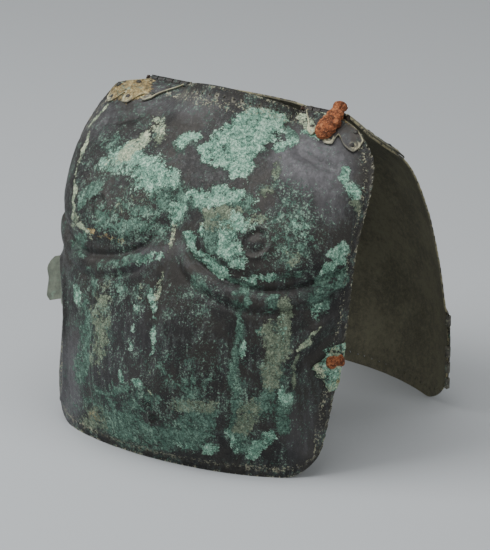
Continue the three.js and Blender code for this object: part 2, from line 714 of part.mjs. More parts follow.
function sideRivets(leaf, { plate, hand, gap = SEAT_GAP }, { runLow, runHigh }) {
  const perWidth = 0.02 / plate.base(hand, runLow).distanceTo(plate.base(hand * 0.98, runLow));
  const domes = [0.2, 0.8].map((share) => {
    const t = runLow + (runHigh - runLow) * share;
    const s = hand * (1 - SIDE_RIVET_INSET * perWidth);
    const n = plate.normal(s, t);
    return rivet(plate.outside(s, t).addScaledVector(n, gap + LEAF_WALL), n);
  });
  return domes.reduce((solid, dome) => solid.add(dome), leaf);
}

function sideLeaf(place, lost) {
  const grid = sideLeafGrid(place);
  let leaf = toSolid(grid.sheet);
  const along = grid.highEnd.clone().sub(grid.lowEnd);
  const length = along.length();
  along.normalize();
  const margin = (length - (SIDE_KNUCKLES - 1) * SIDE_KNUCKLE_PITCH - SIDE_KNUCKLE_LENGTH) / 2;
  const bone = (from, to, radius) => bar(grid.lowEnd.clone().addScaledVector(along, from),
    grid.lowEnd.clone().addScaledVector(along, to), radius, SIDE_BARREL_SIDES);
  for (let k = 0; k < SIDE_KNUCKLES; k += 1) {
    const from = margin + k * SIDE_KNUCKLE_PITCH;
    const end = from + SIDE_KNUCKLE_LENGTH;
    const slotFrom = k === lost ? from - SIDE_KNUCKLE_PITCH + SIDE_KNUCKLE_LENGTH : end;
    const slotTo = k === lost ? end + 1 : from + SIDE_KNUCKLE_PITCH;
    if (k !== lost) leaf = leaf.add(bone(from, end, SIDE_BARREL_RADIUS));
    if (k < SIDE_KNUCKLES - 1) leaf = leaf.subtract(bone(slotFrom, slotTo, SIDE_BARREL_RADIUS + KNUCKLE_GAP));
  }
  leaf = leaf.subtract(bone(-SIDE_KNUCKLE_LENGTH, length + SIDE_KNUCKLE_LENGTH, SIDE_BORE_RADIUS));
  return toGeometry(sideRivets(leaf, place, grid));
}

// The leaf that was bent outwards. Its knuckles are broken off.
function bentLeaf(place) {
  const grid = sideLeafGrid(place);
  return toGeometry(sideRivets(toSolid(grid.sheet), place, grid));
}

function leafRemains(place) {
  const share = curveThrough(REMAINS_OUTLINE, 'up', 'width');
  const widthAt = (up) => FRONT_REMAINS_WIDTH * share(up);
  return toGeometry(toSolid(sideLeafGrid({ ...place, widthAt }).sheet));
}

function sideIron() {
  const t = runAtEdgeHeight(front, 1, SIDE_IRON_HEIGHT_ABOVE_GROUND);
  const perWidth = 0.02 / front.base(1, t).distanceTo(front.base(0.98, t));
  const spots = [0.12, 0.4, 0.7, 0.98].map((share) => 1 - (1 - share) * SIDE_IRON_LENGTH * perWidth);
  const lift = SEAT_GAP + LEAF_WALL + 1;
  const spine = spots.map((s) => front.outside(s, t).addScaledVector(front.normal(s, t), lift));
  const out = front.normal(spots[1], t);
  const lump = rustLump(spine, SIDE_IRON_WIDTH, SIDE_IRON_HEIGHT, out, 0.07);
  const below = Math.max(t - 0.15, 0);
  const seat = coverOver(front, 0.8, 1, below, t + 0.15, PAD_DEPTH, SEAT_GAP + LEAF_WALL + REST_GAP);
  return toGeometry(lump.subtract(seat));
}

// The assembly

const cuirass = new THREE.Group();

function addPiece(name, geometry, material) {
  const mesh = new THREE.Mesh(geometry, material);
  mesh.name = name;
  cuirass.add(mesh);
}

addPiece('front_plate', plateGeometry(front, FRONT_COLUMNS, FRONT_ROWS), bronze);
addPiece('back_plate', plateGeometry(back, BACK_COLUMNS, BACK_ROWS), bronze);

for (const [hand, name] of [[1, 'left'], [-1, 'right']]) {
  addPiece(`shoulder_leaf_front_${name}`, shoulderLeaf(front, hand, FRONT_LEAF_OUTLINE, 0), paleBronze);
  addPiece(`shoulder_leaf_back_${name}`, shoulderLeaf(back, hand, BACK_LEAF_OUTLINE, 1), paleBronze);
  addPiece(`shoulder_pin_${name}`, shoulderPin(hand), rust);
}
addPiece('shoulder_iron_left', shoulderIron(), rust);

const tongue = SIDE_BARREL_RADIUS + SIDE_EDGE_GAP;
const backLeafHeight = (SIDE_KNUCKLES - 1) * SIDE_KNUCKLE_PITCH + SIDE_KNUCKLE_LENGTH + 4;
const onBack = { plate: back, bottom: BACK_SIDE_LEAF_BOTTOM, height: backLeafHeight, tongue };
addPiece('side_leaf_back_left', sideLeaf({ ...onBack, hand: 1 }, LOST_KNUCKLE), paleBronze);
addPiece('side_leaf_back_right', sideLeaf({ ...onBack, hand: -1 }), paleBronze);
addPiece('side_leaf_front_right', bentLeaf({
  plate: front,
  hand: -1,
  bottom: FRONT_SIDE_LEAF_BOTTOM,
  height: FRONT_SIDE_LEAF_HEIGHT,
  tongue: BENT_FLAP_LENGTH,
  turn: BENT_FLAP_TURN,
  gap: BENT_LEAF_GAP,
}), paleBronze);
addPiece('side_leaf_front_left', leafRemains({
  plate: front,
  hand: 1,
  bottom: FRONT_REMAINS_BOTTOM,
  height: FRONT_REMAINS_HEIGHT,
}), paleBronze);
addPiece('side_iron_front_left', sideIron(), rust);

const footprint = new THREE.Box3().setFromObject(cuirass);
const middle = footprint.getCenter(new THREE.Vector3());
for (const piece of cuirass.children) piece.position.set(-middle.x, -middle.y, 0);

export default cuirass;
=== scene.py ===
import json
import logging
import math
from dataclasses import dataclass, field
from enum import Enum
from typing import Callable

import bpy
import numpy as np
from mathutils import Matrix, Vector
from numpy.typing import NDArray


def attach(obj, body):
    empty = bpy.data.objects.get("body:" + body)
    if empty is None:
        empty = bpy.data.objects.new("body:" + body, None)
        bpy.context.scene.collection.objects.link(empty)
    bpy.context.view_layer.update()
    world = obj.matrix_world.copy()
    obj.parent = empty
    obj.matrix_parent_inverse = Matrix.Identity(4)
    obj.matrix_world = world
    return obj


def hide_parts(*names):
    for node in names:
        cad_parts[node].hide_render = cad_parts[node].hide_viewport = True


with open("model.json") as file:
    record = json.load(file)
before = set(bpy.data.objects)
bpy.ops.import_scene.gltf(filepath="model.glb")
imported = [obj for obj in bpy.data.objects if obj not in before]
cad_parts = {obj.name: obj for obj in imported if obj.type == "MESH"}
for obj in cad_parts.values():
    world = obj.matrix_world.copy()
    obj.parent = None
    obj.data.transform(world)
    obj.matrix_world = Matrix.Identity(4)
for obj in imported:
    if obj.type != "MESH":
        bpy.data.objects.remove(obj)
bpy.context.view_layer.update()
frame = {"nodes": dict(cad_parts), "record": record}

# The bronze muscle cuirass, dressed. Lengths are in millimetres in the frame of the shoulder hinge:
# +X is the wearer's left, the breast faces -Y, +Z is up, and the hinge's axis is at y 0 and z 326.

Array = NDArray[np.float64]
Faces = NDArray[np.int64]

LOG = logging.getLogger("cuirass")

MM = 0.001
HINGE = np.array(frame["record"]["behaviour"]["joints"][0]["pos_m"])
SHIFT = np.array([HINGE[0], HINGE[1], 0.0])

AXIS_HEIGHT = 326.0
PLATE_WALL = 1.5
TOP_SETBACK = 6.0
CORNER_RADIUS = 30.0
NECK_HALF_WIDTH = 64.0
PLAIN_BORDER = 10.0
CHART_GIRTH = 205.0
PATCH_WANDER = 12.0

# The angle past which an edge is shaded as a crease, the steps and the share of the half width by which
# a plate's side edge is measured, and what spreads a noise and a sum of noises so that they fill 0 to 1.

CREASE_ANGLE = 0.7
EDGE_STEPS = 200
EDGE_SHARE = 0.02
NOISE_SPREAD = (0.38, 0.62)
SUM_SPREAD = (0.2, 0.8)

# Large odd numbers that scatter the codes of the corners in lattice noise.

CORNER_STEPS = (73856093, 19349663, 83492791)
SEED_STEP = 26544357
SCATTER = 1274126177

LEAF_WALL = 1.2
SEAT_GAP = 0.6
BARREL_RADIUS = 4.0
BORE_RADIUS = 2.1
KNUCKLES = 5
KNUCKLE_GAP = 0.5
BARREL_START = 67.0
BARREL_END = 110.0


def linear(code: str) -> tuple[float, float, float, float]:
    """Turns an sRGB hex code into a linear colour.

    Args:
        code: six hex digits after a hash.

    Returns:
        Red, green, blue and an alpha of one.
    """
    shares = [int(code[i:i + 2], 16) / 255 for i in (1, 3, 5)]
    red, green, blue = (c / 12.92 if c <= 0.04045 else ((c + 0.055) / 1.055) ** 2.4 for c in shares)
    return red, green, blue, 1.0


def smooth(start: float, end: float, value: Array) -> Array:
    """Rises from 0 at start to 1 at end as 3 u u - 2 u u u, and stays flat outside."""
    u = np.clip((value - start) / (end - start), 0, 1)
    return u * u * (3 - 2 * u)


def bell(distance: Array, width: float) -> Array:
    """A bell curve: e to the minus square of distance over width."""
    return np.exp(-(distance / width) ** 2)


def lengths_along(points: Array) -> Array:
    """The distance from the first point to each one, along the line through them."""
    return np.concatenate([[0], np.cumsum(np.linalg.norm(np.diff(points, axis=0), axis=1))])


def nearest(row: Array, value: float) -> int:
    """The number of the entry that is nearest to a value."""
    return int(np.argmin(np.abs(row - value)))


def curve_through(rows: list[tuple[float, ...]], column: int) -> Callable[[Array], Array]:
    """Makes a smooth curve through one column of a table, over its first column.

    Between rows it is a cubic. At a row its slope is the harmonic mean of the slopes on either side,
    or nought where they differ in sign, so that it never overshoots the rows.

    Args:
        rows: the table, in rising order of the first column.
        column: the column that gives the value.

    Returns:
        A function from an array of places to an array of values.
    """
    at = np.array([row[0] for row in rows])
    value = np.array([row[column] for row in rows])
    step = np.diff(at)
    rise = np.diff(value) / step
    before = 2 * step[1:] + step[:-1]
    after = step[1:] + 2 * step[:-1]
    same = rise[:-1] * rise[1:] > 0
    safe_low = np.where(same, rise[:-1], 1.0)
    safe_high = np.where(same, rise[1:], 1.0)
    inner = np.where(same, (before + after) / (before / safe_low + after / safe_high), 0.0)
    slope = np.concatenate([rise[:1], inner, rise[-1:]])

    def curve(x: Array) -> Array:
        """The cubic of the two rows that x lies between."""
        x = np.clip(x, at[0], at[-1])
        i = np.clip(np.searchsorted(at, x) - 1, 0, len(step) - 1)
        u = (x - at[i]) / step[i]
        return ((2 * u ** 3 - 3 * u ** 2 + 1) * value[i] + (3 * u ** 2 - 2 * u ** 3) * value[i + 1]
                + step[i] * ((u ** 3 - 2 * u ** 2 + u) * slope[i] + (u ** 3 - u ** 2) * slope[i + 1]))

    return curve


def lattice_noise(points: Array, size: float, seed: int) -> Array:
    """Smooth noise from 0 to 1: hashed values at the corners of cubes, blended with smooth steps.

    Args:
        points: places in millimetres, with x, y and z last.
        size: the side of the cubes in millimetres.
        seed: picks the pattern.

    Returns:
        One value for each place.
    """
    place = points / size
    cell = np.floor(place).astype(np.int64)
    u = place - cell
    u = u * u * (3 - 2 * u)
    total = np.zeros(points.shape[:-1])
    for corner in np.ndindex(2, 2, 2):
        x, y, z = np.moveaxis((cell + np.array(corner)) * np.array(CORNER_STEPS), -1, 0)
        code = x ^ y ^ z ^ (seed * SEED_STEP)
        code = ((code ^ (code >> 13)) * SCATTER) & 0xFFFFFFFF
        code = (code ^ (code >> 16)) & 0xFFFF
        weight = np.prod(np.where(np.array(corner) == 1, u, 1 - u), axis=-1)
        total += weight * code / 0xFFFF
    return total


def fractal_noise(points: Array, size: float, seed: int, octaves: int = 4) -> Array:
    """Sums lattice noise at halving sizes and strengths, scaled back to 0 to 1.

    Args:
        points: places in millimetres.
        size: the side of the coarsest cubes.
        seed: picks the pattern.
        octaves: how many sizes are summed.

    Returns:
        One value for each place.
    """
    strengths = [0.5 ** k for k in range(octaves)]
    layers = [w * lattice_noise(points, size * w, seed + k) for k, w in enumerate(strengths)]
    return np.sum(layers, axis=0) / sum(strengths)


# Meshes


@dataclass
class Surface:
    """A mesh as arrays, with values for each vertex that its material reads.

    Attributes:
        points: vertices in millimetres.
        faces: four vertex numbers a face.
        values: arrays with one value a vertex, by attribute name.
    """

    points: Array
    faces: Faces
    values: dict[str, Array] = field(default_factory=dict)

    def signed_volume(self) -> float:
        """Sums the volumes between the origin and each face's two triangles.

        Returns:
            The volume, which is negative where the faces point inwards.
        """
        a, b, c, d = (self.points[self.faces[:, k]] for k in range(4))
        first = np.einsum("ij,ij->i", a, np.cross(b, c))
        second = np.einsum("ij,ij->i", a, np.cross(c, d))
        return float(first.sum() + second.sum()) / 6

    def outward(self) -> "Surface":
        """The same surface with its faces turned so that they point out."""
        faces = self.faces if self.signed_volume() > 0 else self.faces[:, ::-1]
        return Surface(self.points, faces, self.values)

    def compact(self) -> "Surface":
        """Drops the vertices that no face uses.

        Returns:
            The same surface with its vertices numbered anew.
        """
        used = np.unique(self.faces)
        number = np.zeros(len(self.points), dtype=np.int64)
        number[used] = np.arange(len(used))
        values = {name: value[used] for name, value in self.values.items()}
        return Surface(self.points[used], number[self.faces], values)


def join(parts: list[Surface]) -> Surface:
    """Puts surfaces into one, keeping only the values that the first has.

    Args:
        parts: the surfaces. One that lacks a value has nought there.

    Returns:
        One surface.
    """
    faces, count = [], 0
    for part in parts:
        faces.append(part.faces + count)
        count += len(part.points)
    values = {}
    for name in parts[0].values:
        values[name] = np.concatenate([p.values.get(name, np.zeros(len(p.points))) for p in parts])
    return Surface(np.concatenate([p.points for p in parts]), np.concatenate(faces), values)


def grid_faces(rows: int, columns: int, start: int, flip: bool) -> Faces:
    """The four-sided faces of a grid of points, by rows and columns of points.

    Args:
        rows: how many rows of points.
        columns: how many points a row.
        start: the number of the first point.
        flip: whether the faces turn the other way.

    Returns:
        Faces with the shape rows - 1, columns - 1, 4.
    """
    i, j = np.meshgrid(np.arange(rows - 1), np.arange(columns - 1), indexing="ij")
    corner = start + i * columns + j
    faces = np.stack([corner, corner + 1, corner + columns + 1, corner + columns], axis=-1)
    return faces[..., ::-1] if flip else faces


def strip(a: Faces, b: Faces) -> Faces:
    """Faces between two rows of vertex numbers of the same length."""
    return np.stack([b[:-1], b[1:], a[1:], a[:-1]], axis=-1)


def closed_sheet(outer: Array, inner: Array, gone: NDArray[np.bool_] | None = None) -> Faces:
    """Faces of a closed sheet between an outer and an inner grid of points.

    Args:
        outer: rows by columns by 3.
        inner: the same for the other side.
        gone: faces of the grids to leave out, if any.

    Returns:
        The faces of both sides and of the four rims. The inner points' numbers follow the outer ones.
    """
    rows, columns = outer.shape[:2]
    count = rows * columns
    keep = np.ones((rows - 1, columns - 1), dtype=bool) if gone is None else ~gone
    top = np.arange(count).reshape(rows, columns)
    under = top + count
    return np.concatenate([
        grid_faces(rows, columns, 0, False)[keep],
        grid_faces(rows, columns, count, True)[keep],
        strip(top[0], under[0]),
        strip(under[-1], top[-1]),
        strip(under[:, 0], top[:, 0]),
        strip(top[:, -1], under[:, -1]),
    ])


def sheet(outer: Array, inner: Array, values: dict[str, Array] | None = None) -> Surface:
    """Makes a closed sheet between two grids.

    Args:
        outer: rows by columns by 3.
        inner: the same for the other side.
        values: values of the outer grid, which both sides get.

    Returns:
        The sheet, with its faces outwards.
    """
    both = {name: np.tile(value.ravel(), 2) for name, value in (values or {}).items()}
    points = np.concatenate([outer.reshape(-1, 3), inner.reshape(-1, 3)])
    return Surface(points, closed_sheet(outer, inner), both).outward()


def ring_solid(start: Array, along: Array, profile: list[tuple[float, float]], sides: int) -> Surface:
    """A closed profile carried round an axis.

    Args:
        start: a point on the axis.
        along: the axis, of length one.
        profile: pairs of distance along the axis and distance from it, in a closed loop.
        sides: how many steps a turn has.

    Returns:
        The ring.
    """
    helper = np.array([0.0, 0.0, 1.0]) if abs(along[2]) < 0.9 else np.array([1.0, 0.0, 0.0])
    across = np.cross(along, helper)
    across /= np.linalg.norm(across)
    other = np.cross(along, across)
    turn = np.linspace(0, 2 * np.pi, sides, endpoint=False)[:, None, None]
    shape = np.array(profile)[None, :, :]
    radial = np.cos(turn) * across + np.sin(turn) * other
    points = start + shape[..., :1] * along + shape[..., 1:] * radial
    count = len(profile)
    i, j = np.meshgrid(np.arange(sides), np.arange(count), indexing="ij")
    i2, j2 = (i + 1) % sides, (j + 1) % count
    faces = np.stack([i * count + j, i2 * count + j, i2 * count + j2, i * count + j2], axis=-1)
    return Surface(points.reshape(-1, 3), faces.reshape(-1, 4)).outward()


def dome(centre: Array, out: Array, radius: float, rise: float) -> Surface:
    """A low round head: a circle that shrinks with the cosine of the angle up and climbs with its sine.

    Args:
        centre: the middle of its foot.
        out: the way that it stands up.
        radius: its radius at the foot.
        rise: how high it stands.

    Returns:
        The head, which reaches a little below its foot.
    """
    up = np.linspace(0, np.pi / 2 * 0.98, 5)
    upper = [(rise * math.sin(a), radius * math.cos(a)) for a in up]
    lower = [(-0.4, upper[-1][1]), (-0.4, radius)]
    return ring_solid(centre, out, upper + lower, 16)


def add_piece(name: str, surface: Surface, material: bpy.types.Material, body: str,
              replaces: list[str]) -> None:
    """Makes a mesh object of a surface and ties it to the frame.

    Args:
        name: the piece's name.
        surface: its mesh, in millimetres.
        material: its finish.
        body: the CAD body that it rides on.
        replaces: the CAD nodes that it stands for.
    """
    made = surface.compact()
    mesh = bpy.data.meshes.new(name)
    mesh.from_pydata((made.points * MM + SHIFT).tolist(), [], made.faces.tolist())
    mesh.validate()
    for key, value in made.values.items():
        layer = mesh.attributes.new(key, "FLOAT", "POINT")
        layer.data.foreach_set("value", value.astype(np.float32))
    mesh.polygons.foreach_set("use_smooth", [True] * len(mesh.polygons))
    mesh.set_sharp_from_angle(angle=CREASE_ANGLE)
    mesh.materials.append(material)
    piece = bpy.data.objects.new(name, mesh)
    bpy.context.scene.collection.objects.link(piece)
    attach(piece, body)
    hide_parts(*replaces)
    LOG.info("%s: %d faces", name, len(mesh.polygons))


# The camera. The photograph is 490 pixels wide and 550 high.

PHOTO_WIDTH = 490
PHOTO_HEIGHT = 550
VIEW_AZIMUTH = 31.3
VIEW_ELEVATION = 21.5
VIEW_DISTANCE = 4456.0
VIEW_AIM = (-2.3, 0.0, 139.6)
LENS = 330.6
SENSOR = 36.0


def direction(azimuth: float, elevation: float) -> Array:
    """The direction from the object, by degrees from straight ahead to the wearer's left and above level."""
    a, e = math.radians(azimuth), math.radians(elevation)
    return np.array([math.sin(a) * math.cos(e), -math.cos(a) * math.cos(e), math.sin(e)])


def seen_at(points: Array) -> tuple[Array, Array]:
    """Where the camera sees points, in pixels of the photograph from its upper left corner.

    Args:
        points: places in millimetres.

    Returns:
        Pixels to the right and pixels down.
    """
    towards = direction(VIEW_AZIMUTH, VIEW_ELEVATION)
    right = np.cross([0.0, 0.0, 1.0], towards)
    right /= np.linalg.norm(right)
    up = np.cross(towards, right)
    from_aim = points - np.array(VIEW_AIM)
    scale = LENS / SENSOR * PHOTO_WIDTH / (VIEW_DISTANCE - from_aim @ towards)
    return PHOTO_WIDTH / 2 + scale * (from_aim @ right), PHOTO_HEIGHT / 2 - scale * (from_aim @ up)


# Patina, and the painted highlight of the sheen patches. A patch is an ellipse. On the breast plate it
# is placed where the photograph shows it, in pixels, which are about a millimetre each. On the back plate
# it is placed by millimetres round from the middle and millimetres down from the hinge, and those patches
# are guesses.


class Patina(Enum):
    """What a patch is made of."""

    MINT = "mint"
    TEAL = "teal"
    MOSS = "moss"
    OCHRE = "ochre"
    PALE = "pale"
    # The sheen is no growth: it is a painted highlight, a violet-grey laid where light falls.
    SHEEN = "sheen"
    SPECKLE = "speckle"
    BARE = "bare"


@dataclass(frozen=True)
class Patch:
    """One charted patch. Its tilt is in degrees, with the right end up."""

    kind: Patina
    right: float
    down: float
    half_width: float
    half_height: float
    tilt: float = 0.0
    strength: float = 1.0


# Short names for the tables below. S is the painted highlight, the sheen.

M, T, Y, O = Patina.MINT, Patina.TEAL, Patina.MOSS, Patina.OCHRE
P, S, F, B = Patina.PALE, Patina.SHEEN, Patina.SPECKLE, Patina.BARE

CHEST_PATCHES = [
    Patch(M, 246, 134, 40, 18, 22), Patch(M, 262, 120, 22, 11), Patch(M, 226, 152, 22, 18),
    Patch(M, 236, 171, 14, 15), Patch(M, 252, 156, 16, 12), Patch(M, 206, 150, 8, 10),
    Patch(M, 283, 146, 15, 6, 35, 0.9), Patch(T, 290, 137, 7, 9), Patch(Y, 280, 171, 4, 13, -15, 0.9),
    Patch(Y, 266, 193, 10, 7, 30, 0.8), Patch(M, 189, 137, 13, 7, 35, 0.9),
    Patch(T, 180, 145, 10, 8, 30, 0.7), Patch(P, 158, 127, 7, 14, 10, 0.8),
    Patch(Y, 157, 140, 6, 8, 0, 0.8), Patch(P, 127, 150, 24, 7, 32, 0.75),
    Patch(M, 118, 158, 24, 12, 30, 0.9), Patch(P, 143, 142, 8, 8, 0, 0.75),
    Patch(T, 110, 143, 12, 8, 40, 0.6), Patch(M, 150, 174, 24, 19, -20, 0.95),
    Patch(M, 142, 163, 14, 9, 0, 0.85), Patch(T, 163, 186, 18, 20, 0, 0.95),
    Patch(M, 173, 177, 6, 12, 0, 0.8), Patch(T, 92, 191, 9, 14, -40, 0.85),
    Patch(T, 84, 205, 5, 9, -20, 0.7), Patch(T, 128, 220, 42, 22, 0, 0.62),
    Patch(F, 126, 206, 50, 36, 0, 0.9), Patch(F, 120, 150, 46, 26, 20, 0.5),
    Patch(Y, 132, 205, 24, 16, 0, 0.35), Patch(T, 174, 206, 12, 17, -20, 0.95),
    Patch(M, 176, 210, 7, 9, 0, 0.85), Patch(P, 172, 238, 3, 20, -12, 0.7),
    Patch(M, 207, 198, 28, 12, 5, 0.9), Patch(T, 214, 206, 38, 20, 0, 0.95),
    Patch(M, 232, 196, 22, 9, -8, 0.8), Patch(Y, 222, 221, 28, 14, 0, 0.9),
    Patch(T, 226, 238, 26, 24, 0, 0.95), Patch(M, 238, 232, 18, 20, 0, 0.75),
    Patch(M, 230, 256, 20, 10, -30, 0.8), Patch(M, 190, 240, 6, 13, 15), Patch(M, 199, 230, 7, 6, 0, 0.8),
    Patch(M, 207, 262, 20, 6, -38), Patch(M, 220, 272, 12, 6, -30, 0.9),
    Patch(T, 196, 280, 16, 4, -45, 0.8), Patch(Y, 258, 218, 9, 5, 0, 0.8),
    Patch(T, 290, 242, 24, 30, 0, 0.62), Patch(F, 288, 230, 34, 40, 0, 0.9),
    Patch(M, 301, 226, 9, 13, 0, 0.45), Patch(Y, 290, 256, 10, 9, 0, 0.5),
    Patch(F, 292, 186, 20, 14, 0, 0.6), Patch(M, 262, 279, 19, 6, 4, 0.85),
    Patch(T, 243, 284, 20, 5, -12, 0.7), Patch(T, 290, 276, 14, 6, 8, 0.6), Patch(M, 345, 173, 6, 11),
    Patch(M, 354, 191, 9, 9, 30), Patch(Y, 353, 206, 7, 9), Patch(M, 337, 251, 12, 6, 8),
    Patch(M, 331, 264, 14, 5, 30), Patch(T, 334, 278, 16, 12, 0, 0.9), Patch(T, 318, 298, 11, 18, 0, 0.9),
    Patch(M, 316, 310, 7, 8, 0, 0.7), Patch(P, 305, 122, 10, 7, -30, 0.9),
    Patch(M, 312, 133, 12, 6, -10, 0.9), Patch(P, 327, 110, 9, 5, 0, 0.7),
    Patch(O, 342, 121, 12, 4, -20, 0.6), Patch(F, 214, 98, 90, 16, -8, 0.25), Patch(O, 131, 88, 20, 11, 20),
    Patch(O, 120, 92, 12, 8, 20, 0.9), Patch(O, 143, 84, 8, 9, 0, 0.8),
    Patch(O, 112, 240, 34, 3, -16, 0.45), Patch(Y, 76, 222, 5, 14, 20, 0.6),
    Patch(P, 88, 236, 16, 3, -40, 0.5), Patch(T, 128, 262, 34, 6, 8, 0.75),
    Patch(M, 152, 260, 14, 5, 25, 0.7), Patch(T, 80, 246, 9, 12, 0, 0.7),
    Patch(B, 203, 172, 5, 18, 12, 0.95), Patch(B, 196, 158, 5, 16, 10, 0.8),
    Patch(B, 262, 160, 9, 7, 35, 0.9), Patch(B, 224, 178, 8, 6, 0, 0.8),
    Patch(B, 117, 184, 16, 12, 20, 0.85), Patch(B, 108, 200, 10, 7, 0, 0.7),
    Patch(B, 192, 222, 8, 9, 0, 0.9), Patch(B, 198, 246, 5, 6, -40, 0.9),
    Patch(B, 272, 205, 12, 9, -20, 0.9), Patch(B, 257, 242, 14, 14, 0, 0.6),
    Patch(B, 165, 218, 6, 10, 20, 0.6), Patch(B, 240, 184, 14, 4, 0, 0.7),
    Patch(B, 178, 266, 8, 20, 20, 0.7),
]

BELLY_PATCHES = [
    Patch(M, 78, 293, 4, 11), Patch(T, 96, 290, 4, 13, 0, 0.9), Patch(T, 85, 336, 9, 44, 0, 0.8),
    Patch(Y, 101, 328, 10, 42, -6, 0.75), Patch(T, 80, 370, 7, 14, 0, 0.7), Patch(M, 152, 296, 4, 8),
    Patch(P, 161, 288, 3, 18, -14, 0.65), Patch(M, 156, 318, 3, 22, -5, 0.55),
    Patch(M, 151, 350, 3, 20, -3, 0.55), Patch(P, 151, 384, 3, 16, 0, 0.4),
    Patch(P, 140, 290, 3, 14, -6, 0.5), Patch(M, 136, 318, 3, 18, -6, 0.5),
    Patch(M, 123, 376, 3, 8, 0, 0.9), Patch(M, 138, 381, 5, 4, -20), Patch(M, 132, 346, 3, 6, 0, 0.7),
    Patch(T, 168, 366, 9, 18, 0, 0.55), Patch(T, 196, 384, 16, 13, 0, 0.75),
    Patch(Y, 195, 404, 26, 8, -8, 0.85), Patch(Y, 96, 420, 16, 15, 0, 0.85),
    Patch(O, 97, 417, 8, 6, 0, 0.5), Patch(T, 122, 426, 20, 12, -10, 0.95),
    Patch(T, 152, 434, 24, 14, -12, 0.85), Patch(T, 180, 436, 26, 16, -10, 0.95),
    Patch(T, 200, 424, 24, 22, 0, 0.85), Patch(M, 186, 447, 12, 5, -12, 0.6),
    Patch(M, 211, 449, 9, 5, 15, 0.95), Patch(T, 120, 400, 44, 18, 0, 0.6),
    Patch(F, 150, 420, 76, 30, 0, 0.8), Patch(F, 130, 372, 60, 30, 0, 0.45),
    Patch(F, 110, 300, 50, 26, 0, 0.55), Patch(F, 195, 300, 30, 20, 0, 0.5),
    Patch(F, 200, 370, 26, 30, 0, 0.4), Patch(T, 130, 285, 22, 16, 0, 0.35),
    Patch(T, 243, 300, 7, 12, 0, 0.8), Patch(T, 238, 335, 6, 34, 0, 0.85),
    Patch(M, 242, 350, 3.5, 12, 0, 0.7), Patch(T, 235, 395, 6, 50, 0, 0.9),
    Patch(M, 232, 440, 5, 16, 0, 0.7), Patch(T, 272, 304, 9, 9), Patch(Y, 285, 312, 7, 15),
    Patch(Y, 276, 342, 13, 24), Patch(T, 264, 330, 6, 7), Patch(Y, 271, 374, 12, 18),
    Patch(M, 281, 330, 6, 12, 0, 0.5), Patch(T, 270, 402, 20, 16), Patch(M, 284, 396, 7, 10, 0, 0.8),
    Patch(T, 283, 424, 9, 11), Patch(Y, 248, 416, 12, 18, -20, 0.9), Patch(T, 240, 434, 11, 20, 0, 0.9),
    Patch(M, 258, 446, 15, 7, 28), Patch(M, 251, 456, 7, 5), Patch(M, 268, 436, 8, 7, 30, 0.8),
    # The thin pale patch at 306 342 and the thin moss one at 294 368 are lime on the hip's lip and partly a
    # painted highlight along it.
    Patch(M, 332, 350, 9, 5, 0, 0.9), Patch(P, 306, 342, 18, 2.6, 42, 0.9),
    Patch(Y, 294, 368, 2.6, 18, -6, 0.8), Patch(F, 262, 400, 36, 60, 0, 0.5), Patch(B, 254, 376, 8, 16, 8),
    Patch(B, 265, 426, 8, 5, 0, 0.95), Patch(B, 222, 436, 4, 22, 0, 0.9), Patch(B, 155, 418, 8, 8, 0, 0.7),
    Patch(B, 258, 318, 6, 10, 0, 0.9), Patch(B, 172, 324, 12, 24, 0, 0.7),
    Patch(B, 224, 340, 6, 40, 0, 0.5), Patch(B, 300, 396, 5, 26, 0, 0.8),
]

# Sheen patches are a painted highlight: violet-grey laid where light falls on the shoulders, the crease by
# the neck and the sides.
PAINTED_SHEEN_PATCHES = [
    Patch(S, 316, 160, 36, 30, -20, 0.9), Patch(S, 290, 156, 14, 18, 0, 0.6),
    Patch(S, 93, 118, 18, 26, -50, 0.5), Patch(S, 70, 385, 12, 46, 0, 0.9),
    Patch(S, 330, 205, 14, 20, 0, 0.4), Patch(S, 172, 100, 40, 14, -10, 0.6),
    Patch(S, 150, 258, 30, 8, 20, 0.5), Patch(S, 300, 430, 18, 34, 0, 0.35),
    Patch(S, 120, 350, 50, 40, 0, 0.25),
]

RIM_PATCHES = [
    Patch(P, 98, 114, 2.2, 16, -38, 0.9), Patch(P, 82, 148, 2.2, 20, -18, 0.9),
    Patch(P, 74, 190, 2.2, 26, -4, 0.9), Patch(P, 78, 228, 10, 2.2, -36, 0.9),
    Patch(B, 155, 418, 7, 7, 0, 0.7),
]
FRONT_PATCHES = CHEST_PATCHES + BELLY_PATCHES + PAINTED_SHEEN_PATCHES + RIM_PATCHES

# Among these, the sheen patches (S) are a painted highlight, like those on the breast plate.
BACK_PATCHES = [
    Patch(T, 60, 71, 46, 22, 20, 0.8), Patch(M, 88, 84, 26, 16, -30, 0.7),
    Patch(T, -70, 64, 50, 20, -15, 0.8), Patch(M, -50, 84, 22, 10, 30, 0.7),
    Patch(Y, 20, 104, 14, 40, 8, 0.6), Patch(T, -125, 156, 22, 52, 10, 0.7),
    Patch(M, -142, 180, 8, 36, 12, 0.6), Patch(T, 134, 200, 20, 52, -8, 0.7),
    Patch(Y, 112, 236, 16, 30, 14, 0.6), Patch(M, 60, 272, 44, 8, 6, 0.7),
    Patch(T, -44, 278, 70, 12, -4, 0.8), Patch(O, 10, 206, 12, 16, 0, 0.4),
    Patch(M, -90, 226, 8, 26, 0, 0.6), Patch(T, 24, 160, 10, 40, 0, 0.7), Patch(S, 158, 96, 24, 44),
    Patch(S, -162, 256, 26, 46), Patch(O, -120, 26, 20, 8, 10, 0.6), Patch(T, 10, 34, 44, 8, 0, 0.7),
    Patch(M, 146, 286, 18, 8, 0, 0.7), Patch(F, 0, 180, 170, 140, 0, 0.6),
    Patch(T, -10, 120, 130, 60, 12, 0.35), Patch(T, 40, 230, 90, 50, -10, 0.35),
    Patch(M, -20, 60, 8, 30, 0, 0.5), Patch(M, 100, 140, 10, 22, 20, 0.6),
]


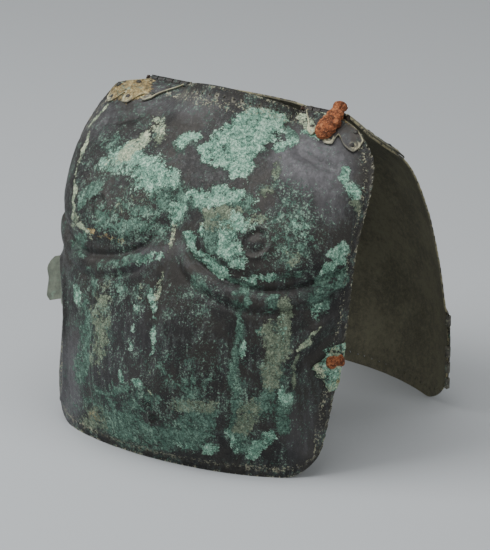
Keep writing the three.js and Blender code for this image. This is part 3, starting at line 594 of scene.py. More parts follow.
def chart(patches: list[Patch], right: Array, down: Array, points: Array) -> dict[str, Array]:
    """Turns patches into one soft field for each kind of patina, and one for the painted highlight (sheen).

    A patch's field is one inside half its size and falls smoothly to nought at 1.5 times it. The
    places are first pushed about by broad noise, so that no patch stays an ellipse. The fields of
    one kind are laid over each other: one minus the product of what each leaves free. Bare patches
    take away from all the others.

    Args:
        patches: the charted patches.
        right: how far to the right each vertex is, in the patches' units.
        down: how far down it is.
        points: the vertices, in millimetres.

    Returns:
        Fields by attribute name.
    """
    right = right + PATCH_WANDER * (fractal_noise(points, 26, 71, 3) - 0.5)
    down = down + PATCH_WANDER * (fractal_noise(points, 26, 83, 3) - 0.5)
    free = {kind: np.ones_like(right) for kind in Patina}
    for patch in patches:
        turn = math.radians(patch.tilt)
        x, y = right - patch.right, patch.down - down
        along = (x * math.cos(turn) + y * math.sin(turn)) / patch.half_width
        over = (y * math.cos(turn) - x * math.sin(turn)) / patch.half_height
        free[patch.kind] *= 1 - patch.strength * (1 - smooth(0.5, 1.5, np.hypot(along, over)))
    bare = free.pop(Patina.BARE)
    return {kind.value: (1 - value) * bare for kind, value in free.items()}


# The plates. A row of a section table gives: the share of the way up, the height at the side edge and
# at the middle as shares of the hinge's height, the half width as a share of the plate's, the depth at
# the side edge and at the middle as shares of the plate's, and how far the neck opening reaches down.

FRONT_SECTIONS = [
    (0.00, 0.000, 0.000, 0.880, 0.638, 0.881, 0.00),
    (0.12, 0.128, 0.131, 0.930, 0.581, 0.948, 0.00),
    (0.25, 0.277, 0.250, 0.952, 0.503, 1.000, 0.00),
    (0.40, 0.435, 0.405, 0.978, 0.439, 0.969, 0.00),
    (0.60, 0.649, 0.613, 0.992, 0.372, 0.837, 0.00),
    (0.75, 0.821, 0.750, 1.000, 0.228, 0.720, 0.00),
    (0.84, 0.911, 0.845, 0.952, 0.110, 0.614, 0.06),
    (0.90, 0.958, 0.923, 0.881, 0.077, 0.426, 0.22),
    (0.95, 0.988, 0.976, 0.824, 0.066, 0.188, 0.63),
    (1.00, 1.000, 1.000, 0.667, 0.000, 0.000, 1.00),
]

BACK_SECTIONS = [
    (0.00, 0.000, 0.000, 0.930, 0.555, 0.886, 0.00),
    (0.12, 0.114, 0.114, 0.995, 0.529, 0.961, 0.00),
    (0.25, 0.235, 0.235, 1.000, 0.529, 1.000, 0.00),
    (0.40, 0.390, 0.390, 0.972, 0.515, 0.973, 0.00),
    (0.60, 0.598, 0.583, 0.937, 0.440, 0.851, 0.00),
    (0.75, 0.747, 0.726, 0.903, 0.342, 0.725, 0.00),
    (0.84, 0.845, 0.821, 0.861, 0.236, 0.575, 0.06),
    (0.90, 0.911, 0.899, 0.800, 0.089, 0.403, 0.22),
    (0.95, 0.958, 0.953, 0.731, 0.014, 0.195, 0.63),
    (1.00, 1.000, 1.000, 0.625, 0.000, 0.000, 1.00),
]

# How far a plate wraps round the body, in degrees from its middle to its side edge, by share of the
# way up.

FRONT_WRAP = [(0.0, 68.0), (0.5, 76.0), (1.0, 66.0)]
BACK_WRAP = [(0.0, 50.0), (0.5, 58.0), (1.0, 58.0)]

# The fold under the breast: across as a share of the half width, height as a share of the hinge's.

BREAST_FOLD = [
    (0.00, 0.725), (0.08, 0.702), (0.18, 0.660), (0.32, 0.626), (0.47, 0.604), (0.62, 0.592), (0.78, 0.604),
    (0.91, 0.629), (1.00, 0.655),
]

breast_fold = curve_through(BREAST_FOLD, 1)


@dataclass
class Plate:
    """One of the two sheets, as a surface over s and t.

    s goes from -1 at the wearer's right edge to 1 at the left one, and t from 0 at the lower edge to 1
    at the hinge. The lower corners are rounded by starting each column higher.
    """

    name: str
    side: int
    sections: list[tuple[float, ...]]
    wrap: list[tuple[float, ...]]
    half_width: float
    depth: float
    neck_depth: float
    neck_rise: float
    patches: list[Patch]
    rows: int = 196
    columns: int = 222
    hole_radius: float = 1.05
    hole_pitch: float = 9.4
    hole_border: float = 9.5
    hole_apart: int = 3
    hole_free_top: float = 12.0
    neck_holes: int = 7
    neck_pitch: float = 8.7
    girth_steps: int = 60
    climb_power: float = 1.12
    hammer_rise: float = 0.9
    dent_rise: float = 0.35
    crust_rise: float = 1.5
    verdigris_rise: float = 0.35
    rim_rise: float = 0.5

    def __post_init__(self) -> None:
        """Makes the curves of the section table and measures the half girth at the lower edge."""
        self.curves = [curve_through(self.sections, column) for column in range(1, 7)]
        self.wrap_angle = curve_through(self.wrap, 1)
        share = np.linspace(0, 1, self.girth_steps + 1)
        edge = self.base(share, np.zeros_like(share))
        self.girth = lengths_along(edge)
        self.per_run = AXIS_HEIGHT * self.sections[1][1] / self.sections[1][0]

    def base(self, s: Array, t: Array) -> Array:
        """The plate without its relief.

        A level section is an arc: across grows with the sine of the angle and depth with its cosine,
        between the table's values at the edge and at the middle. A bell over the neck pushes the upper
        rows out, and up.

        Args:
            s: shares round.
            t: shares up.

        Returns:
            Points in millimetres.
        """
        edge_height, mid_height, width, edge_depth, mid_depth, neck = (curve(t) for curve in self.curves)
        edge_angle = np.radians(self.wrap_angle(t))
        angle = s * edge_angle
        inwards = (np.cos(angle) - np.cos(edge_angle)) / (1 - np.cos(edge_angle))
        x = self.half_width * width * np.sin(angle) / np.sin(edge_angle)
        neck_shape = np.maximum(0, 1 - (x / NECK_HALF_WIDTH) ** 2) ** 0.8
        y = (TOP_SETBACK + self.depth * (edge_depth + (mid_depth - edge_depth) * inwards)
             + self.neck_depth * neck_shape * neck)
        z = (AXIS_HEIGHT * (edge_height + (mid_height - edge_height) * inwards)
             + self.neck_rise * neck_shape * neck ** 2)
        return np.stack([x, self.side * y, z], axis=-1)

    def lowest_run(self, s: Array) -> Array:
        """Finds the t at which a column starts: a quarter circle at the corners, nought between them.

        Args:
            s: shares round, one a column.

        Returns:
            The lowest t of each column.
        """
        here = np.interp(np.abs(s) * self.girth_steps, np.arange(self.girth_steps + 1), self.girth)
        from_edge = np.minimum(self.girth[-1] - here, CORNER_RADIUS)
        return (CORNER_RADIUS - np.sqrt(CORNER_RADIUS ** 2 - (CORNER_RADIUS - from_edge) ** 2)) / self.per_run

    def normal(self, s: Array, t: Array) -> Array:
        """Finds the outward normal: the cross of the two slopes, level near the ground.

        Args:
            s: shares round.
            t: shares up.

        Returns:
            Directions of length one.
        """
        small = 1e-3
        right = self.base(np.minimum(s + small, 1), t) - self.base(np.maximum(s - small, -1), t)
        up = self.base(s, np.minimum(t + small, 1)) - self.base(s, np.maximum(t - small, 0))
        out = np.cross(right, up) * -self.side
        out[..., 2] *= smooth(0, 2 * PLAIN_BORDER, self.base(s, t)[..., 2])
        return out / np.linalg.norm(out, axis=-1, keepdims=True)

    def border(self, s: Array, t: Array) -> Array:
        """Measures the distance to the nearest edge.

        Args:
            s: shares round.
            t: shares up.

        Returns:
            Millimetres.
        """
        from_side = (1 - np.abs(s)) * self.girth[-1]
        from_bottom = (t - self.lowest_run(s)) * self.per_run
        return np.minimum(np.minimum(from_side, from_bottom), (1 - t) * AXIS_HEIGHT)

    def relief(self, x: Array, z: Array) -> Array:
        """The relief that this plate has inside its border."""
        raise NotImplementedError

    def outside(self, s: Array, t: Array) -> Array:
        """Finds the outer surface: the base moved out by the relief, which fades at the border.

        Args:
            s: shares round.
            t: shares up.

        Returns:
            Points in millimetres.
        """
        point = self.base(s, t)
        fade = smooth(0.4 * PLAIN_BORDER, 1.6 * PLAIN_BORDER, self.border(s, t))
        rise = fade * self.relief(point[..., 0], point[..., 2])
        return point + self.normal(s, t) * rise[..., None]

    def patina(self, s: Array, points: Array) -> dict[str, Array]:
        """The patina fields at points of this plate, or of a leaf on it."""
        raise NotImplementedError

    def holes(self, outer: Array) -> list[tuple[int, int]]:
        """Picks the grid points where the lacing holes are.

        They lie a border's width in from the lower edge, the side edges and the neck, at points of
        the grid that are about one pitch apart.

        Args:
            outer: the outer grid.

        Returns:
            Pairs of row and column.
        """
        middle = self.columns // 2
        climb, across = lengths_along(outer[:, middle]), lengths_along(outer[0])
        first = nearest(climb, self.hole_border)
        last = nearest(climb, climb[-1] - self.hole_border)
        beside = nearest(across, self.hole_border)
        run = across[-1] - 2 * self.hole_border
        picks: set[tuple[int, int]] = set()
        for share in np.linspace(0, 1, int(run / self.hole_pitch) + 1):
            picks.add((first, nearest(across, self.hole_border + share * run)))
        for column in (beside, self.columns - beside):
            rise = lengths_along(outer[:, column])
            start, end = rise[first] + self.hole_pitch, rise[-1] - self.hole_free_top
            for distance in np.arange(start, end, self.hole_pitch):
                picks.add((nearest(rise, distance), column))
        neck = lengths_along(outer[last])
        for k in range(-self.neck_holes, self.neck_holes + 1):
            picks.add((last, nearest(neck - neck[middle], k * self.neck_pitch)))
        chosen: list[tuple[int, int]] = []
        for row, column in sorted(picks):
            if all(max(abs(row - r), abs(column - c)) > self.hole_apart for r, c in chosen):
                chosen.append((row, column))
        return chosen

    def punch(self, outer: Array, inner: Array) -> tuple[NDArray[np.bool_], list[Faces], Array]:
        """Makes the lacing holes: the eight points round each one are drawn into a circle.

        Args:
            outer: the outer grid, whose points are moved.
            inner: the inner grid, whose points are moved as well.

        Returns:
            The faces that are gone, the holes' walls, and how strongly lime rings each point.
        """
        width, count = outer.shape[1], outer.shape[0] * outer.shape[1]
        gone = np.zeros((self.rows, self.columns), dtype=bool)
        lime = np.zeros(outer.shape[:2])
        rng = np.random.default_rng(7)
        walls = []
        steps = [(-1, -1), (-1, 0), (-1, 1), (0, 1), (1, 1), (1, 0), (1, -1), (0, -1)]
        for row, column in self.holes(outer):
            gone[row - 1:row + 1, column - 1:column + 1] = True
            ring_rows = np.array([row + i for i, _ in steps])
            ring_columns = np.array([column + j for _, j in steps])
            for skin in (outer, inner):
                spokes = skin[ring_rows, ring_columns] - skin[row, column]
                spokes *= self.hole_radius / np.linalg.norm(spokes, axis=1, keepdims=True)
                skin[ring_rows, ring_columns] = skin[row, column] + spokes
            lime[ring_rows, ring_columns] = rng.uniform(0.1, 1.0)
            ring = ring_rows * width + ring_columns
            after = np.roll(ring, -1)
            walls.append(np.stack([ring, after, after + count, ring + count], axis=-1))
        return gone, walls, lime

    def build(self) -> Surface:
        """Makes both skins, the rims and the holes.

        The hammering moves both skins by broad noise, and the crusts swell the outer one.

        Returns:
            The closed sheet with its patina fields.
        """
        share = np.linspace(-1, 1, self.columns + 1)
        climb = 1 - (1 - np.linspace(0, 1, self.rows + 1)) ** self.climb_power
        s, up = np.meshgrid(share, climb)
        low = self.lowest_run(s)
        t = low + (1 - low) * up
        outer, out, border = self.outside(s, t), self.normal(s, t), self.border(s, t)
        fields = self.patina(s, outer)
        grain = fractal_noise(outer, 9, 5)
        crust = smooth(0.45, 0.75, fields["ochre"] * 0.75 + grain * 0.6)
        verdigris = smooth(0.5, 0.8, np.maximum(fields["mint"], fields["teal"]) * 0.7 + grain * 0.5)
        hammer = (self.hammer_rise * (fractal_noise(outer, 46, 11, 3) - 0.5)
                  + self.dent_rise * (lattice_noise(outer, 11, 12) - 0.5))
        inner = outer - out * PLATE_WALL + out * hammer[..., None]
        growth = (hammer + self.crust_rise * crust * grain + self.verdigris_rise * verdigris * grain
                  + self.rim_rise * bell(border, 2.2))
        outer = outer + out * growth[..., None]
        raised = outer[..., 2] > 0
        outer[..., 2] = np.maximum(outer[..., 2], 0)
        inner[..., 2] = np.where(raised, np.maximum(inner[..., 2], 0), inner[..., 2])
        fields["border"] = bell(border - self.hole_border, 3.0)
        fields["rim"] = 1 - smooth(0.6, 2.6, border)
        gone, walls, fields["speck"] = self.punch(outer, inner)
        faces = np.concatenate([closed_sheet(outer, inner, gone), *walls])
        points = np.concatenate([outer.reshape(-1, 3), inner.reshape(-1, 3)])
        values = {name: np.tile(value.ravel(), 2) for name, value in fields.items()}
        values["inner"] = np.repeat([0.0, 1.0], s.size)
        for name in fields.keys() & {kind.value for kind in Patina}:
            values[name] = values[name] * (1 - values["inner"])
        return Surface(points, faces, values).outward()


@dataclass
class BreastPlate(Plate):
    """The front sheet, with the relief of the chest and belly."""

    breast_rise: float = 8.0
    roll_rise: float = 4.0
    roll_width: float = 24.0
    belly_rise: float = 2.5
    belly_half_width: float = 76.0
    midline_depth: float = 2.0
    hip_recess: float = 3.0
    hip_lip: float = 3.0
    groove_depth: float = 3.6
    hip_centre: tuple[float, float] = (1.02, 0.26)
    hip_size: tuple[float, float] = (0.235, 0.215)
    hip_power: float = 2.6
    collar_start: float = 0.54
    collar_length: float = 0.25
    collar_height: float = 0.944
    ridge_rise: float = 2.2
    fold_rise: float = 2.2
    fold_depth: float = 2.0
    lower_fold_rise: float = 1.6
    nipple: tuple[float, float] = (87.0, 232.0)
    nipple_rise: float = 2.4
    nipple_ring: float = 13.0
    nipple_ring_rise: float = 1.9
    navel: tuple[float, float] = (3.0, 52.0)
    navel_depth: float = 2.4
    navel_ring: float = 7.0
    navel_ring_rise: float = 2.3

    def relief(self, x: Array, z: Array) -> Array:
        """Adds up the chest, rib roll, belly, midline, hips and collarbones.

        The breast rises over its fold and fades towards the collar. Below the fold runs a roll, a
        squared sine over its width, and under that a raised belly ends at two upright ridges. A
        rounded square round each hip is set back, with a lip, and a groove marks the collarbone.

        Args:
            x: millimetres across.
            z: millimetres up.

        Returns:
            How far each point stands out.
        """
        across = np.abs(x)
        share = across / self.half_width
        above = z - breast_fold(share) * AXIS_HEIGHT
        chest_top = 1 - smooth(0.1 * AXIS_HEIGHT, 0.3 * AXIS_HEIGHT, above)
        breast = (self.breast_rise * smooth(-1, 16, above) * chest_top
                  * smooth(0, 0.28, share) * (1 - 0.5 * smooth(0.75, 1, share)))
        place = np.clip(-above / self.roll_width, 0, 1)
        roll = self.roll_rise * np.sin(np.pi * place) ** 2 * smooth(0.03, 0.15, share)
        below = smooth(2, self.roll_width, -above)
        inside = 1 - smooth(self.belly_half_width - 6, self.belly_half_width, across)
        belly = self.belly_rise * below * inside
        midline = (-self.midline_depth * bell(x, 5) * (1 - smooth(0.8 * AXIS_HEIGHT, 0.9 * AXIS_HEIGHT, z))
                   * smooth(0.15 * AXIS_HEIGHT, 0.22 * AXIS_HEIGHT, z))
        ridge = self.ridge_rise * bell(across - self.belly_half_width, 2.8) * below
        return (breast + roll + belly + midline + self.hips(across, z) + self.collar(share, z) + ridge
                + self.folds(share, above) + self.details(x, z))

    def hips(self, across: Array, z: Array) -> Array:
        """The hollow over each hip and its lip, over the distance from the middle of a rounded square.

        Args:
            across: millimetres from the middle.
            z: millimetres up.

        Returns:
            How far each point stands out.
        """
        aside = np.abs(across - self.hip_centre[0] * self.half_width) / (self.hip_size[0] * self.half_width)
        over = np.abs(z - self.hip_centre[1] * AXIS_HEIGHT) / (self.hip_size[1] * AXIS_HEIGHT)
        hip = (aside ** self.hip_power + over ** self.hip_power) ** (1 / self.hip_power)
        return self.hip_lip * bell(hip - 1.08, 0.075) - self.hip_recess * (1 - smooth(0.82, 1.02, hip))

    def collar(self, share: Array, z: Array) -> Array:
        """The groove along each collarbone, which sinks a little outwards."""
        along = (share - self.collar_start) / self.collar_length
        return (-self.groove_depth * bell(z / AXIS_HEIGHT - (self.collar_height - 0.04 * along), 0.011)
                * smooth(-0.2, 0.1, along) * (1 - smooth(0.9, 1.2, along)))

    def folds(self, share: Array, above: Array) -> Array:
        """The crease under the breast and the one under the roll, each a lip over a dip.

        Args:
            share: shares of the half width.
            above: millimetres above the crease under the breast.

        Returns:
            How far each point stands out.
        """
        under = above + self.roll_width
        crease = self.fold_rise * bell(above - 2, 3.0) - self.fold_depth * bell(above + 4, 2.6)
        lower_crease = self.lower_fold_rise * (bell(under - 6, 3.0) - bell(under + 1, 2.8))
        return (crease + lower_crease) * smooth(0.04, 0.2, share)

    def patina(self, s: Array, points: Array) -> dict[str, Array]:
        """The patches where the photograph shows them."""
        return chart(self.patches, *seen_at(points), points)

    def details(self, x: Array, z: Array) -> Array:
        """The rings and bosses: a bell over the distance from a circle, and one over its middle.

        Args:
            x: millimetres across.
            z: millimetres up.

        Returns:
            How far each point stands out.
        """
        from_nipple = np.hypot(np.abs(x) - self.nipple[0], z - self.nipple[1])
        nipples = self.nipple_ring_rise * bell(from_nipple - self.nipple_ring, 1.7)
        nipples += self.nipple_rise * bell(from_nipple, 4.2) - 1.0 * bell(from_nipple - 8, 2.4)
        from_navel = np.hypot(x - self.navel[0], z - self.navel[1])
        navel = (self.navel_ring_rise * bell(from_navel - self.navel_ring, 1.5)
                 - self.navel_depth * bell(from_navel, 3.6))
        return nipples + navel


@dataclass
class BackPlate(Plate):
    """The back sheet, with the relief of the spine, shoulder blades and loins."""

    spine_depth: float = 5.0
    spine_half_width: float = 11.0
    blade_rise: float = 7.0
    loin_step: float = 2.0

    def patina(self, s: Array, points: Array) -> dict[str, Array]:
        """The patches by their place round the back and down from the hinge."""
        return chart(self.patches, s * CHART_GIRTH, AXIS_HEIGHT - points[..., 2], points)

    def relief(self, x: Array, z: Array) -> Array:
        """Adds a furrow down the spine, a swell over each shoulder blade and a step at the loins.

        Args:
            x: millimetres across.
            z: millimetres up.

        Returns:
            How far each point stands out.
        """
        share = np.abs(x) / self.half_width
        up = z / AXIS_HEIGHT
        spine = -self.spine_depth * bell(x, self.spine_half_width)
        spine *= smooth(0.04, 0.2, up) * (1 - smooth(0.75, 0.92, up))
        blade = self.blade_rise * bell(share - 0.45, 0.27) * bell(up - 0.68, 0.15)
        line = 0.325 - 0.14 * share ** 2
        loin = -self.loin_step * (1 - smooth(-0.03, 0.01, up - line)) * (1 - smooth(0.6, 0.85, share))
        return spine + blade + loin


# Shoulder leaves. The outlines give the place from the neck side to the arm side and the share of the
# way up the plate that the lower edge reaches there. Rivets: place, and share of the way to the hinge.

FRONT_LEAF_OUTLINE = [
    (0.00, 0.945), (0.10, 0.935), (0.19, 0.950), (0.33, 0.918), (0.45, 0.914), (0.55, 0.934), (0.66, 0.905),
    (0.78, 0.884), (0.90, 0.893), (1.00, 0.908),
]

BACK_LEAF_OUTLINE = [
    (0.00, 0.930), (0.12, 0.912), (0.24, 0.930), (0.40, 0.885), (0.54, 0.875), (0.64, 0.898), (0.78, 0.850),
    (0.90, 0.838), (1.00, 0.845),
]

LEAF_RIVETS = [(0.08, 0.30), (0.12, 0.78), (0.42, 0.18), (0.78, 0.16), (0.92, 0.45), (0.80, 0.80)]


@dataclass
class ShoulderLeaf:
    """A hinge leaf that follows its plate, with a beaded outline, scrolls, rivets and knuckles."""

    plate: Plate
    hand: int
    outline: list[tuple[float, float]]
    remainder: int
    inner: float = 0.54
    outer: float = 0.985
    rows: int = 26
    columns: int = 96
    scrolls: tuple[tuple[float, float], ...] = ((0.11, 0.16), (0.40, 0.14), (0.83, 0.13))
    scroll_radius: float = 4.2
    bead_rise: float = 0.7
    hook_rise: float = 0.9
    eye_rise: float = 1.1
    rivet_radius: float = 2.6
    rivet_rise: float = 1.3
    clearance: float = 0.8
    knuckle_edge: float = 0.5

    def spot(self, place: Array, reach: Array) -> tuple[Array, Array]:
        """Where a place on the leaf lies on its plate."""
        low = curve_through(self.outline, 1)(place)
        return self.hand * (self.inner + (self.outer - self.inner) * place), low + (1 - low) * reach

    def lift(self, place: Array, reach: Array, height: Array) -> Array:
        """A point that far above the plate."""
        s, t = self.spot(place, reach)
        return self.plate.outside(s, t) + self.plate.normal(s, t) * height[..., None]

    def build(self) -> Surface:
        """Makes the sheet, its knuckles and its rivets.

        Returns:
            The leaf. Its upper rows bend down to the barrel, and the sheet ends inside the knuckles.
        """
        reach = np.concatenate([np.linspace(0, 1, self.rows), [1.0]])
        place, up = np.meshgrid(np.linspace(0, 1, self.columns), reach)
        ground = self.lift(place, up, np.full_like(up, SEAT_GAP))
        edge = self.lift(place, np.zeros_like(up), np.full_like(up, SEAT_GAP))
        from_edge = np.linalg.norm(ground - edge, axis=-1)
        from_side = np.minimum(place, 1 - place) * np.linalg.norm(edge[0, 0] - edge[0, -1])
        bead = self.bead_rise * bell(np.minimum(from_edge, from_side) - 1.0, 0.8)
        for scroll_place, scroll_reach in self.scrolls:
            eye = self.lift(np.array([[scroll_place]]), np.array([[scroll_reach]]), np.zeros((1, 1)))
            away = np.linalg.norm(ground - eye, axis=-1)
            hook = smooth(-1.5, 1.5, eye[0, 0, 2] - ground[..., 2] + 2)
            bead = np.maximum(bead, self.hook_rise * bell(away - self.scroll_radius, 0.9) * hook)
            bead = np.maximum(bead, self.eye_rise * bell(away, 1.3))
        grain = fractal_noise(ground, 7, 31)
        thickness = LEAF_WALL + bead + 0.4 * (grain - 0.5)
        top = self.lift(place, up, SEAT_GAP + thickness)
        for grid in (top, ground):
            grid[-1, :, 1] = self.plate.side * (BARREL_RADIUS + BORE_RADIUS) / 2
        s, _ = self.spot(place, up)
        values = self.plate.patina(s, ground) | {"edge": np.clip(bead / self.bead_rise, 0, 1)}
        parts = [self.cut(sheet(top, ground, values), top)]
        pitch = (BARREL_END - BARREL_START) / KNUCKLES
        for k in range(KNUCKLES):
            if k % 2 == self.remainder:
                start = BARREL_START + k * pitch + KNUCKLE_GAP / 2
                parts.append(self.knuckle(start, pitch - KNUCKLE_GAP))
        for rivet_place, rivet_reach in LEAF_RIVETS:
            where = np.array([rivet_place]), np.array([rivet_reach])
            centre = self.lift(*where, np.array([SEAT_GAP + LEAF_WALL]))[0]
            s, t = self.spot(*where)
            parts.append(dome(centre, self.plate.normal(s, t)[0], self.rivet_radius, self.rivet_rise))
        return join(parts)

    def cut(self, made: Surface, top: Array) -> Surface:
        """Opens the sheet where the other leaf's knuckles turn.

        The upper row of points is drawn back there to just outside the room that they need.

        Args:
            made: the leaf's sheet.
            top: its outer grid.

        Returns:
            The sheet with its upper rim moved.
        """
        pitch = (BARREL_END - BARREL_START) / KNUCKLES
        x = np.abs(top[-1, :, 0])
        k = np.clip(np.floor((x - BARREL_START) / pitch).astype(int), 0, KNUCKLES - 1)
        foreign = (k % 2 != self.remainder) | (x < BARREL_START) | (x > BARREL_END)
        points = made.points.copy()
        count = top.shape[0] * top.shape[1]
        last = np.arange(count - top.shape[1], count)[foreign]
        room = self.plate.side * (BARREL_RADIUS + KNUCKLE_GAP + self.clearance)
        points[last, 1] = room
        points[last + count, 1] = room
        return Surface(points, made.faces, made.values)

    def knuckle(self, start: float, length: float) -> Surface:
        """Makes a short tube with softened ends on the hinge's axis.

        Args:
            start: where it starts, in millimetres from the middle.
            length: how long it is.

        Returns:
            The tube.
        """
        soft = self.knuckle_edge
        shoulder = BARREL_RADIUS - soft
        profile = [(0, BORE_RADIUS), (0, shoulder), (soft, BARREL_RADIUS), (length - soft, BARREL_RADIUS),
                   (length, shoulder), (length, BORE_RADIUS)]
        along = np.array([float(self.hand), 0.0, 0.0])
        return ring_solid(np.array([self.hand * start, 0.0, AXIS_HEIGHT]), along, profile, 24)


@dataclass
class SideLeaf:
    """What is left of a side hinge leaf: a thin sheet on its plate, with a flap bent away if it has one.

    Attributes:
        plate: the plate that it lies on.
        hand: 1 on the wearer's left side and -1 on the right one.
        bottom: the height of its lower end at the plate's edge.
        height: from its lower end to its upper one.
        width: the width on the plate.
        outline: up, the width on the plate and the flap's length, as shares.
        gap: the room between it and the plate.
        wall: its thickness.
        growth: how high the crust on it grows.
        flap: the length of the part past the plate's edge, and nought for none.
        turn: how far the flap is bent, in degrees.
        droop: how far the flap's far end hangs, as a share of its length.
        values: the patina on it, by kind.
        seed: picks the crust's shape.
    """

    plate: Plate
    hand: int
    bottom: float
    height: float
    width: float
    outline: list[tuple[float, float, float]]
    gap: float
    wall: float
    growth: float
    values: dict[Patina, float]
    seed: int
    flap: float = 0.0
    turn: float = 0.0
    droop: float = 0.0
    rows: int = 64
    columns: int = 40
    flap_columns: int = 30
    bend_radius: float = 2.0

    def build(self) -> Surface:
        """Makes the sheet.

        Returns:
            The sheet. On the plate its edges are wavy and thin out, and the flap follows an arc and
            then a straight line, level with the plate's edge.
        """
        run = np.linspace(0, 1, EDGE_STEPS)
        rise = self.plate.base(np.full_like(run, self.hand), run)[..., 2]
        up = np.linspace(0, 1, self.rows)
        t = np.interp(self.bottom + self.height * up, rise, run)
        edge = self.plate.base(np.full_like(t, self.hand), t)
        near = self.plate.base(np.full_like(t, self.hand * (1 - EDGE_SHARE)), t)
        share = curve_through(self.outline, 1)(up)
        wave = 0.75 + 0.3 * lattice_noise(edge, 5, self.seed) + 0.2 * lattice_noise(edge, 2, self.seed)
        per_width = EDGE_SHARE / np.linalg.norm(edge - near, axis=1) * self.width * share * wave
        inwards = np.linspace(1, 0, self.columns)
        s = self.hand * (1 - per_width[:, None] * inwards[None, :])
        t_grid = np.repeat(t[:, None], self.columns, axis=1)
        out = self.plate.normal(s, t_grid)
        ground = self.plate.outside(s, t_grid) + out * self.gap
        ends = np.minimum(up, 1 - up)[:, None] * self.height
        border = np.minimum(ends, (1 - inwards)[None, :] * self.width * share[:, None])
        thick = self.wall + self.growth * smooth(0, 4, border) * fractal_noise(ground, 8, self.seed)
        top = ground + out * thick[..., None]
        if self.flap > 0:
            ground, top = self.with_flap(ground, top, edge - near, up)
        values = {kind.value: np.full(ground.shape[:2], share) for kind, share in self.values.items()}
        return sheet(top, ground, values)

    def with_flap(self, ground: Array, top: Array, onwards: Array, up: Array) -> tuple[Array, Array]:
        """Adds the flap's columns to both grids.

        Args:
            ground: the grid on the plate's side.
            top: the outer grid.
            onwards: the way past the plate's edge, for each row.
            up: the share of the way up, for each row.

        Returns:
            Both grids with the flap.
        """
        onwards = onwards.copy()
        onwards[:, 2] = 0
        onwards /= np.linalg.norm(onwards, axis=1, keepdims=True)
        out = top[:, -1] - ground[:, -1]
        out[:, 2] = 0
        out /= np.linalg.norm(out, axis=1, keepdims=True)
        far = self.flap * curve_through(self.outline, 2)(up)
        middle = (ground[:, -1] + top[:, -1]) / 2
        full_turn = math.radians(self.turn)
        arc = 2 * self.bend_radius
        grounds, tops = [ground], [top]
        for step in np.linspace(0, 1, self.flap_columns + 1)[1:]:
            distance = step * far
            angle = full_turn * np.clip(distance / arc, 0, 1)
            radius = arc / full_turn
            straight = np.maximum(distance - arc, 0)
            along = radius * np.sin(angle) + straight * math.cos(full_turn)
            beyond = radius * (1 - np.cos(angle)) + straight * math.sin(full_turn)
            place = middle + onwards * along[:, None] + out * beyond[:, None]
            place[:, 2] -= self.droop * distance
            facing = out * np.cos(angle)[:, None] - onwards * np.sin(angle)[:, None]
            wall = self.wall * 0.5 * (1 + 0.4 * (fractal_noise(place, 6, self.seed) - 0.5))[:, None]
            grounds.append((place - facing * wall)[:, None, :])
            tops.append((place + facing * wall)[:, None, :])
        return np.concatenate(grounds, axis=1), np.concatenate(tops, axis=1)


@dataclass
class RustLump:
    """Swollen iron: a ball drawn out along a spine, with a fractal surface.

    Attributes:
        spine: points from the lower end to the upper one.
        width: full size across.
        height: full size out from what it lies on.
        out: the direction away from what it lies on.
        waist: places along the spine with their share of the full width.
        seed: picks the surface.
        roughness: how far the surface moves, as a share of the radius.
    """

    spine: list[tuple[float, float, float]]
    width: float
    height: float
    out: tuple[float, float, float]
    waist: list[tuple[float, float]]
    seed: int
    roughness: float = 0.9
    rings: int = 72
    sides: int = 56

    def build(self) -> Surface:
        """Carries an ellipse along the spine, shrunk to the waist table and to nought at both ends.

        Returns:
            The lump, moved in and out by noise.
        """
        v = 0.5 - 0.5 * np.cos(np.linspace(0, np.pi, self.rings))
        knots = np.linspace(0, 1, len(self.spine))
        table = [(float(k), *p) for k, p in zip(knots, self.spine)]
        centre = np.stack([curve_through(table, column)(v) for column in (1, 2, 3)], axis=-1)
        along = np.gradient(centre, v, axis=0)
        along /= np.linalg.norm(along, axis=1, keepdims=True)
        sideways = np.cross(along, np.array(self.out))
        sideways /= np.linalg.norm(sideways, axis=1, keepdims=True)
        outwards = np.cross(sideways, along)
        size = curve_through(self.waist, 1)(v) * np.sqrt(np.clip(1 - (2 * v - 1) ** 6, 0, 1))
        turn = np.linspace(0, 2 * np.pi, self.sides, endpoint=False)
        ring = (np.cos(turn)[None, :, None] * sideways[:, None, :] * self.width / 2
                + np.sin(turn)[None, :, None] * outwards[:, None, :] * self.height / 2)
        points = centre[:, None, :] + ring * size[:, None, None]
        lumps = fractal_noise(points, 8, self.seed, 4) - 0.5
        cracks = 0.16 * bell(lattice_noise(points, 5, self.seed + 9) - 0.5, 0.06)
        swell = 1 + self.roughness * lumps - cracks
        points = centre[:, None, :] + ring * (size[:, None] * swell)[..., None]
        i, j = np.meshgrid(np.arange(self.rings - 1), np.arange(self.sides), indexing="ij")
        j2 = (j + 1) % self.sides
        low, high = i * self.sides, (i + 1) * self.sides
        faces = np.stack([low + j, low + j2, high + j2, high + j], axis=-1)
        return Surface(points.reshape(-1, 3), faces.reshape(-1, 4)).outward()


# Finishes

Tree = bpy.types.ShaderNodeTree
Socket = bpy.types.NodeSocket


def add_node(tree: Tree, kind: str, inputs: dict[int | str, object],
             **settings: object) -> bpy.types.ShaderNode:
    """Adds a node with its settings and links.

    Args:
        tree: the material's tree.
        kind: the node's type.
        inputs: sockets to link or values to set, by the input's name or number.
        settings: the node's own properties.

    Returns:
        The node.
    """
    made = tree.nodes.new(kind)
    for name, value in settings.items():
        setattr(made, name, value)
    for key, value in inputs.items():
        if isinstance(value, bpy.types.NodeSocket):
            tree.links.new(value, made.inputs[key])
        else:
            made.inputs[key].default_value = value
    return made


